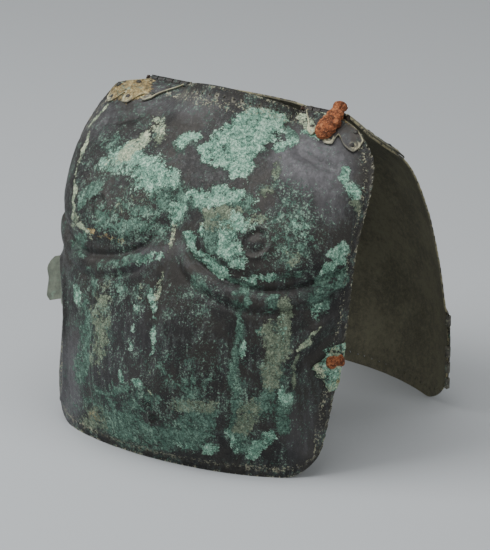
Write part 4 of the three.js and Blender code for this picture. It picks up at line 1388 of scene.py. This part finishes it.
class Step(Enum):
    """What the nodes of a finish do: type, settings, inputs in the order they are given, output."""

    PLACE = ("ShaderNodeTexCoord", {}, (), "Object")
    FIELD = ("ShaderNodeAttribute", {}, (), "Fac")
    NOISE = ("ShaderNodeTexNoise", {"noise_dimensions": "4D"},
             ("Vector", "W", "Scale", "Detail", "Roughness"), 0)
    RAMP = ("ShaderNodeMapRange", {"interpolation_type": "SMOOTHSTEP"},
            ("Value", "From Min", "From Max", "To Min", "To Max"), 0)
    LINE = ("ShaderNodeMapRange", {}, ("Value", "From Min", "From Max"), 0)
    BLEND = ("ShaderNodeMix", {"data_type": "RGBA"}, (0, 6, 7), 2)
    SQUEEZE = ("ShaderNodeVectorMath", {"operation": "MULTIPLY"}, (0, 1), 0)
    TIMES = ("ShaderNodeMath", {"operation": "MULTIPLY"}, (0, 1), 0)
    PLUS = ("ShaderNodeMath", {"operation": "ADD"}, (0, 1), 0)
    MINUS = ("ShaderNodeMath", {"operation": "SUBTRACT"}, (0, 1), 0)
    TIMES_PLUS = ("ShaderNodeMath", {"operation": "MULTIPLY_ADD"}, (0, 1, 2), 0)
    LARGER = ("ShaderNodeMath", {"operation": "MAXIMUM"}, (0, 1), 0)
    SIZE = ("ShaderNodeMath", {"operation": "ABSOLUTE"}, (0,), 0)
    BUMP = ("ShaderNodeBump", {}, ("Height", "Strength", "Distance"), 0)


# Short names for the steps that are used most.

RAMP, BLEND, TIMES, TIMES_PLUS, LARGER = Step.RAMP, Step.BLEND, Step.TIMES, Step.TIMES_PLUS, Step.LARGER


@dataclass
class Painter:
    """Makes one material, whose colour it builds up in layers."""

    name: str

    def __post_init__(self) -> None:
        """Starts an empty material, with the place on the object as its first step."""
        self.material = bpy.data.materials.new(self.name)
        self.material.use_nodes = True
        self.tree = self.material.node_tree
        self.tree.nodes.clear()
        self.place = self.add(Step.PLACE)

    def add(self, step: Step, *values: object, **settings: object) -> Socket:
        """Adds one step.

        Args:
            step: what it does.
            values: sockets, numbers or hex codes for its inputs.
            settings: properties past those of the step.

        Returns:
            What comes out of it.
        """
        kind, own, names, output = step.value
        given = [linear(value) if isinstance(value, str) else value for value in values]
        return add_node(self.tree, kind, dict(zip(names, given)), **own, **settings).outputs[output]

    def fold(self, step: Step, *values: object) -> Socket:
        """Takes in one value after another by the same step, as for a product of several.

        Args:
            step: a step with two inputs.
            values: sockets and numbers.

        Returns:
            The last result.
        """
        total = values[0]
        for value in values[1:]:
            total = self.add(step, total, value)
        return total

    def full(self, size: float, detail: float, roughness: float, seed: float = 0.0,
             place: Socket | None = None) -> Socket:
        """Makes noise that is spread so that it fills 0 to 1 fairly evenly.

        Args:
            size: how wide its coarsest grains are, in millimetres.
            detail: how many times it is halved.
            roughness: how strong the finer grains are.
            seed: picks its pattern.
            place: where it is read, if not at the place on the object.

        Returns:
            The noise.
        """
        noise = self.add(Step.NOISE, place or self.place, seed, 1 / (size * MM), detail, roughness)
        return self.add(Step.LINE, noise, *NOISE_SPREAD)

    def mixed(self, *layers: tuple[Socket, float]) -> Socket:
        """Sums noises from 0 to 1 and spreads the sum so that it fills 0 to 1.

        Args:
            layers: pairs of noise and weight.

        Returns:
            The sum.
        """
        total: Socket | float = 0.0
        for noise, weight in layers:
            total = self.add(TIMES_PLUS, noise, weight, total)
        return self.add(Step.LINE, total, *SUM_SPREAD)

    def cover(self, share: Socket, grain: Socket, soft: float) -> Socket:
        """A mask that covers about the given share of the place, where the grain is highest."""
        return self.add(RAMP, self.add(Step.PLUS, share, grain), 1.0, 1 + 2 * soft)

    def veins(self, noise: Socket, width: float) -> Socket:
        """Thin winding lines, where a noise from 0 to 1 passes one half."""
        away = self.add(Step.SIZE, self.add(Step.MINUS, noise, 0.5))
        return self.add(RAMP, away, 0.0, width, 1.0, 0.0)

    def lay(self, under: object, over: object, share: Socket, strength: float = 1.0) -> Socket:
        """Lays one colour over another.

        Args:
            under: the lower colour.
            over: the upper colour.
            share: how much of the upper one shows.
            strength: the most that shows of it.

        Returns:
            The colour.
        """
        shown = share if strength == 1.0 else self.add(TIMES, share, strength)
        return self.add(BLEND, shown, under, over)

    def finish(self, inputs: dict[str, object]) -> bpy.types.Material:
        """Ends the material with a shader that has these inputs."""
        shader = add_node(self.tree, "ShaderNodeBsdfPrincipled", inputs)
        add_node(self.tree, "ShaderNodeOutputMaterial", {"Surface": shader.outputs[0]})
        return self.material


@dataclass(frozen=True)
class Crust:
    """One kind of growth on the bronze.

    Attributes:
        kind: the field of the mesh that says where it grows.
        low: its colour in the cracks and hollows.
        middle: its main colour.
        high: its colour on the grains.
        share: how closely it covers the middle of a patch.
        seed: picks its pattern.
    """

    kind: Patina
    low: str
    middle: str
    high: str
    share: float
    seed: float


CRUSTS = [
    Crust(Patina.TEAL, "#26342e", "#456155", "#749483", 0.9, 3.0),
    Crust(Patina.MOSS, "#3b4137", "#65725f", "#919b83", 0.92, 7.0),
    Crust(Patina.MINT, "#2c463d", "#719d88", "#bfdfc9", 0.97, 11.0),
    Crust(Patina.OCHRE, "#3f3524", "#82704a", "#bca877", 0.92, 17.0),
    Crust(Patina.PALE, "#4b5a4c", "#97a78c", "#d2d5b5", 0.9, 23.0),
]


class SheetPainter(Painter):
    """A painter with what all layers of the sheet's finish read.

    It holds the mesh's fields, noises from the broadest to the finest, one drawn out downwards like
    runs of water, and a share that is one on the outside and nought inside. Clouds of tarnish are 46
    millimetres wide, islands of crust 15, its lumps 5 and its grains 1.7. Real grains are far finer
    than a pixel, so these are drawn as coarse as they need to show.
    """

    FIELDS = ("teal", "moss", "mint", "ochre", "pale", "sheen", "speckle", "border", "rim", "speck", "edge",
              "inner")

    def __post_init__(self) -> None:
        """Adds the fields and the noises."""
        super().__post_init__()
        self.field = {name: self.add(Step.FIELD, attribute_name=name) for name in self.FIELDS}
        self.broad = self.full(46, 4, 0.6)
        self.island = self.full(15, 9, 0.72, 1.0)
        self.middling = self.full(5, 7, 0.75, 2.0)
        self.fine = self.full(1.7, 5, 0.75, 4.0)
        drawn_out = self.add(Step.SQUEEZE, self.place, (1.0, 1.0, 0.16))
        self.runs = self.full(4.5, 6, 0.7, 5.0, drawn_out)
        self.open_share = self.add(Step.MINUS, 1.0, self.field["inner"])


@dataclass(frozen=True)
class TarnishedBronze:
    """Beaten bronze sheet, long buried: near black tarnish with crusts of verdigris.

    To the eye it is a dark grey metal, with a painted violet-grey highlight, the sheen, laid in patches.
    Powdery green crusts with ragged edges and fine cracks lie over it, and pale grains are sprinkled all
    over.
    """

    name: str = "buried_bronze_sheet"
    dark: str = "#232323"
    brown: str = "#302e2b"
    grey: str = "#3f4041"
    dust: str = "#5a5650"
    sheen: str = "#67666a"
    film_low: str = "#2e3d36"
    film: str = "#3f5a4d"
    speck_low: str = "#4c6c5f"
    speck_high: str = "#92b09c"
    # The inner tones are lighter than the metal's own colour: painted fill light for the shaded inside.
    inner_dark_with_painted_fill: str = "#45453a"
    inner_light_with_painted_fill: str = "#73705c"
    inner_green: str = "#66705e"
    inner_dust: str = "#7c7562"
    cream: str = "#cbc6a2"
    lace: str = "#b5b29c"
    rim: str = "#a8a78f"
    rim_share: float = 0.5

    def build(self) -> bpy.types.Material:
        """Makes the material.

        Returns:
            The finished material, which reads the patina fields of the mesh.
        """
        paint = SheetPainter(self.name)
        colour, haze = self.haze(paint, self.bare_metal(paint))
        colour, crust = self.crusts(paint, colour)
        colour, grains = self.grains(paint, colour)
        colour = paint.lay(colour, self.inside(paint), paint.field["inner"])
        covered = paint.fold(LARGER, crust, grains, paint.add(TIMES, haze, 0.55), paint.field["inner"])
        uneven = paint.add(RAMP, paint.middling, 0.0, 1.0, -0.5, 0.5)
        rough = paint.add(TIMES_PLUS, uneven, 0.2, paint.add(RAMP, covered, 0.0, 1.0, 0.5, 0.92))
        height = paint.add(TIMES_PLUS, covered, 0.8, paint.add(TIMES, paint.middling, 0.45))
        height = paint.add(TIMES_PLUS, paint.fine, 0.3, height)
        return paint.finish({
            "Base Color": colour,
            "Metallic": paint.add(RAMP, covered, 0.0, 1.0, 0.4, 0.0),
            "Roughness": rough,
            "Normal": paint.add(Step.BUMP, height, 0.7, 0.6 * MM),
        })

    def bare_metal(self, paint: SheetPainter) -> Socket:
        """Paints the tarnish, brown and grey clouds and fine dust, and the sheen, a painted highlight, in its
        patches.

        Args:
            paint: the material's painter.

        Returns:
            The colour.
        """
        colour = paint.add(BLEND, paint.add(RAMP, paint.broad, 0.25, 0.75), self.dark, self.brown)
        greyed = paint.add(RAMP, paint.mixed((paint.runs, 0.5), (paint.island, 0.5)), 0.45, 0.8)
        colour = paint.lay(colour, self.grey, greyed, 0.75)
        colour = paint.lay(colour, self.dust, paint.add(RAMP, paint.fine, 0.6, 1.0, 0, 0.3))
        # The sheen is a painted highlight: violet-grey laid in the charted sheen patches, where the runs
        # noise lets it show.
        painted_sheen_share = paint.add(TIMES, paint.field["sheen"], paint.add(RAMP, paint.runs, 0.0, 1.0, 0.5, 0.75))
        return paint.lay(colour, self.sheen, painted_sheen_share)

    def haze(self, paint: SheetPainter, colour: Socket) -> tuple[Socket, Socket]:
        """Lays a thin green film over the tarnish, thicker near the crusts.

        Args:
            paint: the material's painter.
            colour: the colour so far.

        Returns:
            The new colour and the film's mask.
        """
        green = paint.fold(LARGER, paint.field["teal"], paint.field["mint"], paint.field["moss"])
        share = paint.add(TIMES_PLUS, green, 0.5, 0.28)
        # The film thins under the sheen, the painted highlight.
        share = paint.add(Step.MINUS, share, paint.add(TIMES, paint.field["sheen"], 0.4))
        grain = paint.mixed((paint.island, 0.5), (paint.runs, 0.25), (paint.fine, 0.25))
        haze = paint.cover(paint.add(TIMES, share, paint.open_share), grain, 0.2)
        film = paint.add(BLEND, paint.fine, self.film_low, self.film)
        return paint.lay(colour, film, haze, 0.62), haze

    def crusts(self, paint: SheetPainter, colour: Socket) -> tuple[Socket, Socket]:
        """Lays each kind of crust over the colour, with its grains and its cracks.

        Args:
            paint: the material's painter.
            colour: the colour so far.

        Returns:
            The new colour and the mask of all crusts.
        """
        areas = []
        for one in CRUSTS:
            own = paint.full(13, 9, 0.74, one.seed)
            grain = paint.mixed((own, 0.5), (paint.middling, 0.3), (paint.fine, 0.2))
            area = paint.cover(paint.add(TIMES, paint.field[one.kind.value], one.share), grain, 0.07)
            tone = paint.mixed((own, 0.25), (paint.full(3.2, 6, 0.8, one.seed + 1), 0.45), (paint.fine, 0.3))
            shade = paint.add(BLEND, paint.add(RAMP, tone, 0.1, 0.5), one.low, one.middle)
            shade = paint.lay(shade, one.high, paint.add(RAMP, tone, 0.5, 0.95))
            shade = paint.lay(shade, one.low, paint.veins(paint.middling, 0.1), 0.8)
            colour = paint.lay(colour, shade, area)
            areas.append(area)
        return colour, paint.fold(LARGER, *areas)

    def grains(self, paint: SheetPainter, colour: Socket) -> tuple[Socket, Socket]:
        """Sprinkles stray green grains, lime along the rims and holes, and cream on the beads.

        Args:
            paint: the material's painter.
            colour: the colour so far.

        Returns:
            The new colour and the grains' mask.
        """
        dots = paint.mixed((paint.full(2.0, 3, 0.8, 29.0), 0.65), (paint.island, 0.35))
        dot_share = paint.add(TIMES_PLUS, paint.field["speckle"], 0.36, 0.06)
        stray = paint.cover(paint.add(TIMES, dot_share, paint.open_share), dots, 0.05)
        tone = paint.add(BLEND, paint.add(RAMP, paint.runs, 0.3, 0.9), self.speck_low, self.speck_high)
        colour = paint.lay(colour, tone, stray, 0.75)
        edges = paint.add(LARGER, paint.add(TIMES, paint.field["border"], 0.42),
                          paint.add(TIMES, paint.field["rim"], self.rim_share))
        lime = paint.add(TIMES, edges, paint.add(RAMP, paint.island, 0.2, 0.8, 0.3, 1.0))
        grit = paint.mixed((paint.full(2.2, 3, 0.7, 31.0), 0.7), (paint.middling, 0.3))
        flecks = paint.cover(lime, grit, 0.08)
        colour = paint.lay(colour, self.rim, flecks, 0.8)
        laces = paint.add(TIMES, paint.field["speck"], paint.add(RAMP, paint.middling, 0.3, 0.7))
        colour = paint.lay(colour, self.lace, laces, 0.7)
        beads = paint.add(TIMES, paint.field["edge"], paint.add(RAMP, paint.island, 0.1, 0.8, 0.25, 1.0))
        colour = paint.lay(colour, self.cream, beads, 0.9)
        return colour, paint.fold(LARGER, stray, flecks, beads)

    def inside(self, paint: SheetPainter) -> Socket:
        """Paints the inner skin: olive grey, lightened as painted fill light for its shade, with faint
        clouds, green stains and dust.

        Args:
            paint: the material's painter.

        Returns:
            The colour.
        """
        clouds = paint.add(RAMP, paint.mixed((paint.broad, 0.4), (paint.middling, 0.6)), -0.5, 1.5)
        tone = paint.add(BLEND, clouds, self.inner_dark_with_painted_fill, self.inner_light_with_painted_fill)
        stain = paint.cover(paint.add(RAMP, paint.broad, 0, 1, 0.15, 0.4), paint.middling, 0.3)
        tone = paint.lay(tone, self.inner_green, stain, 0.5)
        return paint.lay(tone, self.inner_dust, paint.add(RAMP, paint.fine, 0.5, 1.0, 0, 0.35))


@dataclass(frozen=True)
class DullBronze:
    """Cast and beaten bronze fittings with a grey-brown skin and pale lime grains.

    To the eye it is paler and drier than the sheet, with cream and green grains that dot it. Clouds
    are 8 millimetres wide, green spots 6, and the grains 2.2, which is coarser than real, to show.
    """

    name: str = "worn_bronze_fittings"
    low: str = "#3b3a35"
    high: str = "#6d6a60"
    lime: str = "#b6b79b"
    green: str = "#6c9580"
    lime_share: float = 0.5

    def build(self) -> bpy.types.Material:
        """Makes the material.

        Returns:
            The finished material.
        """
        paint = Painter(self.name)
        island = paint.add(Step.NOISE, paint.place, 0.0, 1 / (8 * MM), 8, 0.68)
        grain = paint.add(Step.NOISE, paint.place, 0.0, 1 / (2.2 * MM), 6, 0.7)
        spots = paint.add(Step.NOISE, paint.place, 0.0, 1 / (6 * MM), 8, 0.7)
        colour = paint.add(BLEND, paint.add(RAMP, island, 0.35, 0.65), self.low, self.high)
        limed = paint.add(RAMP, grain, 0.66 - 0.2 * self.lime_share, 0.74 - 0.2 * self.lime_share)
        greened = paint.add(RAMP, spots, 0.55, 0.64)
        colour = paint.lay(colour, self.green, greened, 0.8)
        colour = paint.lay(colour, self.lime, limed, 0.85)
        covered = paint.add(LARGER, limed, greened)
        return paint.finish({
            "Base Color": colour,
            "Metallic": paint.add(RAMP, covered, 0, 1, 0.5, 0.0),
            "Roughness": paint.add(RAMP, covered, 0, 1, 0.5, 0.9),
            "Normal": paint.add(Step.BUMP, grain, 0.7, 0.5 * MM),
        })


@dataclass(frozen=True)
class FlakingRust:
    """Iron that has turned to rust: orange-brown, dry and flaking, with dark pits and cracks.

    Flakes are 7 millimetres wide and their grains 1.8, which is coarser than real, to show.
    """

    name: str = "flaking_rust"
    dark: str = "#5d3520"
    mid: str = "#9c5a36"
    light: str = "#c68558"

    def build(self) -> bpy.types.Material:
        """Makes the material.

        Returns:
            The finished material.
        """
        paint = Painter(self.name)
        island = paint.full(7, 8, 0.72)
        grain = paint.full(1.8, 6, 0.75)
        coarse = paint.mixed((island, 0.6), (grain, 0.4))
        flakes = paint.mixed((island, 0.35), (grain, 0.65))
        colour = paint.add(BLEND, paint.add(RAMP, coarse, 0.15, 0.6), self.dark, self.mid)
        colour = paint.lay(colour, self.light, paint.add(RAMP, flakes, 0.6, 0.95, 0, 0.9))
        colour = paint.lay(colour, self.dark, paint.veins(island, 0.06), 0.8)
        height = paint.add(TIMES_PLUS, grain, 0.5, island)
        bump = paint.add(Step.BUMP, height, 0.9, 1.0 * MM)
        return paint.finish({"Base Color": colour, "Metallic": 0.0, "Roughness": 0.95, "Normal": bump})


@dataclass(frozen=True)
class SoftLight:
    """A square lamp: where it stands in degrees, how far and how wide in metres, and its watts."""

    name: str
    azimuth: float
    elevation: float
    distance: float
    width: float
    watts: float


LIGHTS = [
    SoftLight("key", -50, 48, 2.6, 1.5, 62),
    SoftLight("fill", 75, 30, 3.0, 2.0, 26),
    SoftLight("top", 10, 85, 2.4, 1.6, 30),
]


@dataclass
class Studio:
    """The camera, the pale floor and the soft lights."""

    floor_colour: str = "#b3b7ba"
    floor_half: float = 6.0
    floor_roughness: float = 0.95
    air_colour: str = "#b3b4b3"
    air_strength: float = 0.55

    def build(self) -> None:
        """Adds everything that isn't part of the object."""
        self.add_camera()
        self.add_floor()
        for light in LIGHTS:
            self.add_light(light)
        world = bpy.data.worlds.new("studio")
        world.use_nodes = True
        background = world.node_tree.nodes["Background"]
        background.inputs[0].default_value = linear(self.air_colour)
        background.inputs[1].default_value = self.air_strength
        bpy.context.scene.world = world

    def place(self, thing: bpy.types.Object, azimuth: float, elevation: float, distance: float) -> None:
        """Puts a thing at that distance from the aim point and points it there.

        Args:
            thing: the camera or a lamp.
            azimuth: degrees from straight ahead of the breast towards the wearer's left.
            elevation: degrees above level.
            distance: metres.
        """
        aim = np.array(VIEW_AIM) * MM + SHIFT
        thing.location = Vector(aim + direction(azimuth, elevation) * distance)
        thing.rotation_euler = Vector(-direction(azimuth, elevation)).to_track_quat("-Z", "Y").to_euler()
        bpy.context.scene.collection.objects.link(thing)

    def add_camera(self) -> None:
        """Adds the camera at the photograph's angle and makes it the scene's."""
        data = bpy.data.cameras.new("camera")
        data.sensor_fit = "HORIZONTAL"
        data.sensor_width = SENSOR
        data.lens = LENS
        data.clip_end = 100
        camera = bpy.data.objects.new("camera", data)
        self.place(camera, VIEW_AZIMUTH, VIEW_ELEVATION, VIEW_DISTANCE * MM)
        bpy.context.scene.camera = camera

    def add_floor(self) -> None:
        """Adds one large level square of pale matt board."""
        h = self.floor_half
        mesh = bpy.data.meshes.new("floor")
        mesh.from_pydata([(-h, -h, 0), (h, -h, 0), (h, h, 0), (-h, h, 0)], [], [(0, 1, 2, 3)])
        inputs = {"Base Color": linear(self.floor_colour), "Roughness": self.floor_roughness}
        mesh.materials.append(Painter("pale_floor_board").finish(inputs))
        floor = bpy.data.objects.new("floor", mesh)
        bpy.context.scene.collection.objects.link(floor)

    def add_light(self, light: SoftLight) -> None:
        """Adds a lamp that points at the object."""
        data = bpy.data.lights.new(light.name, "AREA")
        data.size = light.width
        data.energy = light.watts
        lamp = bpy.data.objects.new(light.name, data)
        self.place(lamp, light.azimuth, light.elevation, light.distance)


FRONT = BreastPlate(
    name="front_sheet", side=-1, sections=FRONT_SECTIONS, wrap=FRONT_WRAP, half_width=165.0, depth=174.0,
    neck_depth=45.0, neck_rise=27.0, patches=FRONT_PATCHES,
)
BACK = BackPlate(
    name="back_sheet", side=1, sections=BACK_SECTIONS, wrap=BACK_WRAP, half_width=176.0, depth=169.0,
    neck_depth=34.0, neck_rise=-10.0, patches=BACK_PATCHES,
)

# Side leaves: up, the width on the plate and the flap's length, as shares.

STUB_OUTLINE = [
    (0.00, 0.25, 0.0), (0.20, 0.45, 0.0), (0.45, 0.80, 0.0), (0.66, 0.90, 0.0), (0.82, 0.62, 0.0),
    (1.00, 0.35, 0.0),
]

FLAP_OUTLINE = [
    (0.00, 1.00, 0.80), (0.15, 1.00, 0.97), (0.50, 1.00, 0.90), (0.75, 1.00, 1.00), (0.90, 1.00, 0.86),
    (1.00, 1.00, 0.62),
]

STUB = SideLeaf(
    plate=FRONT, hand=1, bottom=86, height=46, width=31, outline=STUB_OUTLINE, gap=0.3, wall=1.2,
    growth=4.0, values={Patina.PALE: 0.6, Patina.MINT: 0.75, Patina.OCHRE: 0.3}, seed=5,
)
BENT = SideLeaf(
    plate=FRONT, hand=-1, bottom=112, height=43, width=15, outline=FLAP_OUTLINE, gap=0.95, wall=1.2,
    growth=0.3, values={}, seed=8, flap=20, turn=77, droop=0.3,
)

# The iron over the shoulder is steep, with a waist near its upper end. The iron on the stub lies level
# along the plate: its height, its length from the plate's edge, how far its middle stands off, and the
# points of its spine as shares of the length.

SHOULDER_SPINE = [(108.0, -44.0, 318.0), (108.0, -27.3, 325.0), (108.0, -11.0, 333.0), (108.0, 0.0, 341.0)]
SHOULDER_WAIST = [(0, 0.75), (0.25, 1.0), (0.55, 0.86), (0.75, 0.7), (0.9, 0.85), (1, 0.7)]
SHOULDER_OUT = (0.0, -0.4, 1.0)
SIDE_WAIST = [(0, 0.7), (0.3, 1.0), (0.6, 0.8), (0.85, 1.0), (1, 0.8)]
SIDE_HEIGHT = 117.0
SIDE_LENGTH = 21.0
SIDE_LIFT = 3.4
SIDE_SHARES = (0.12, 0.4, 0.7, 0.98)


def side_lump() -> RustLump:
    """Lays the rusted iron along the plate over the stub at the wearer's left.

    Returns:
        The lump.
    """
    run = np.linspace(0, 1, EDGE_STEPS)
    t = float(np.interp(SIDE_HEIGHT, FRONT.base(np.ones_like(run), run)[:, 2], run))
    edge = FRONT.base(np.array([1.0]), np.array([t]))
    near = FRONT.base(np.array([1 - EDGE_SHARE]), np.array([t]))
    per_width = EDGE_SHARE / float(np.linalg.norm(edge - near))
    s = np.array([1 - (1 - share) * SIDE_LENGTH * per_width for share in SIDE_SHARES])
    t_row = np.full_like(s, t)
    normals = FRONT.normal(s, t_row)
    places = FRONT.outside(s, t_row) + normals * SIDE_LIFT
    return RustLump(spine=places.tolist(), width=14, height=9, out=tuple(normals[1]), waist=SIDE_WAIST,
                    seed=57)


def paint_node(name: str, material: bpy.types.Material) -> None:
    """Gives a CAD node that is kept its material."""
    for one in frame["nodes"][name].material_slots:
        one.material = material


def main() -> None:
    """Builds the pieces in order."""
    logging.basicConfig(level=logging.INFO, format="%(message)s")
    Studio().build()
    sheet_finish = TarnishedBronze().build()
    back_finish = TarnishedBronze(name="buried_bronze_back", rim="#b8b088", rim_share=0.95).build()
    leaf_finish = TarnishedBronze(name="beaded_bronze_leaf", dark="#2b2a29", brown="#3d3935").build()
    fittings = DullBronze().build()
    limed = DullBronze(name="limed_bronze_flap", low="#6a7166", high="#868d7e", lime="#9ea390",
                       green="#7b8f7e", lime_share=0.1).build()
    rust = FlakingRust().build()
    dark_iron = FlakingRust(name="dark_iron", dark="#2c2621", mid="#4a3a30", light="#6e5747").build()
    add_piece("front_sheet", FRONT.build(), sheet_finish, "breast", ["front_plate"])
    add_piece("back_sheet", BACK.build(), back_finish, "back", ["back_plate"])
    for hand, word in ((1, "left"), (-1, "right")):
        leaf = ShoulderLeaf(FRONT, hand, FRONT_LEAF_OUTLINE, remainder=0).build()
        add_piece(f"scroll_leaf_front_{word}", leaf, leaf_finish, "breast",
                  [f"shoulder_leaf_front_{word}"])
        leaf = ShoulderLeaf(BACK, hand, BACK_LEAF_OUTLINE, remainder=1).build()
        add_piece(f"scroll_leaf_back_{word}", leaf, leaf_finish, "back",
                  [f"shoulder_leaf_back_{word}"])
        paint_node(f"shoulder_pin_{word}", dark_iron)
        paint_node(f"side_leaf_back_{word}", fittings)
    iron = RustLump(spine=SHOULDER_SPINE, width=20, height=15, out=SHOULDER_OUT, waist=SHOULDER_WAIST,
                    seed=41)
    add_piece("rust_lump_shoulder", iron.build(), rust, "breast", ["shoulder_iron_left"])
    add_piece("rust_lump_side", side_lump().build(), rust, "breast", ["side_iron_front_left"])
    add_piece("crusted_leaf_stub", STUB.build(), sheet_finish, "breast",
              ["side_leaf_front_left"])
    add_piece("bent_side_leaf", BENT.build(), limed, "breast", ["side_leaf_front_right"])


if __name__ == "__main__":
    main()
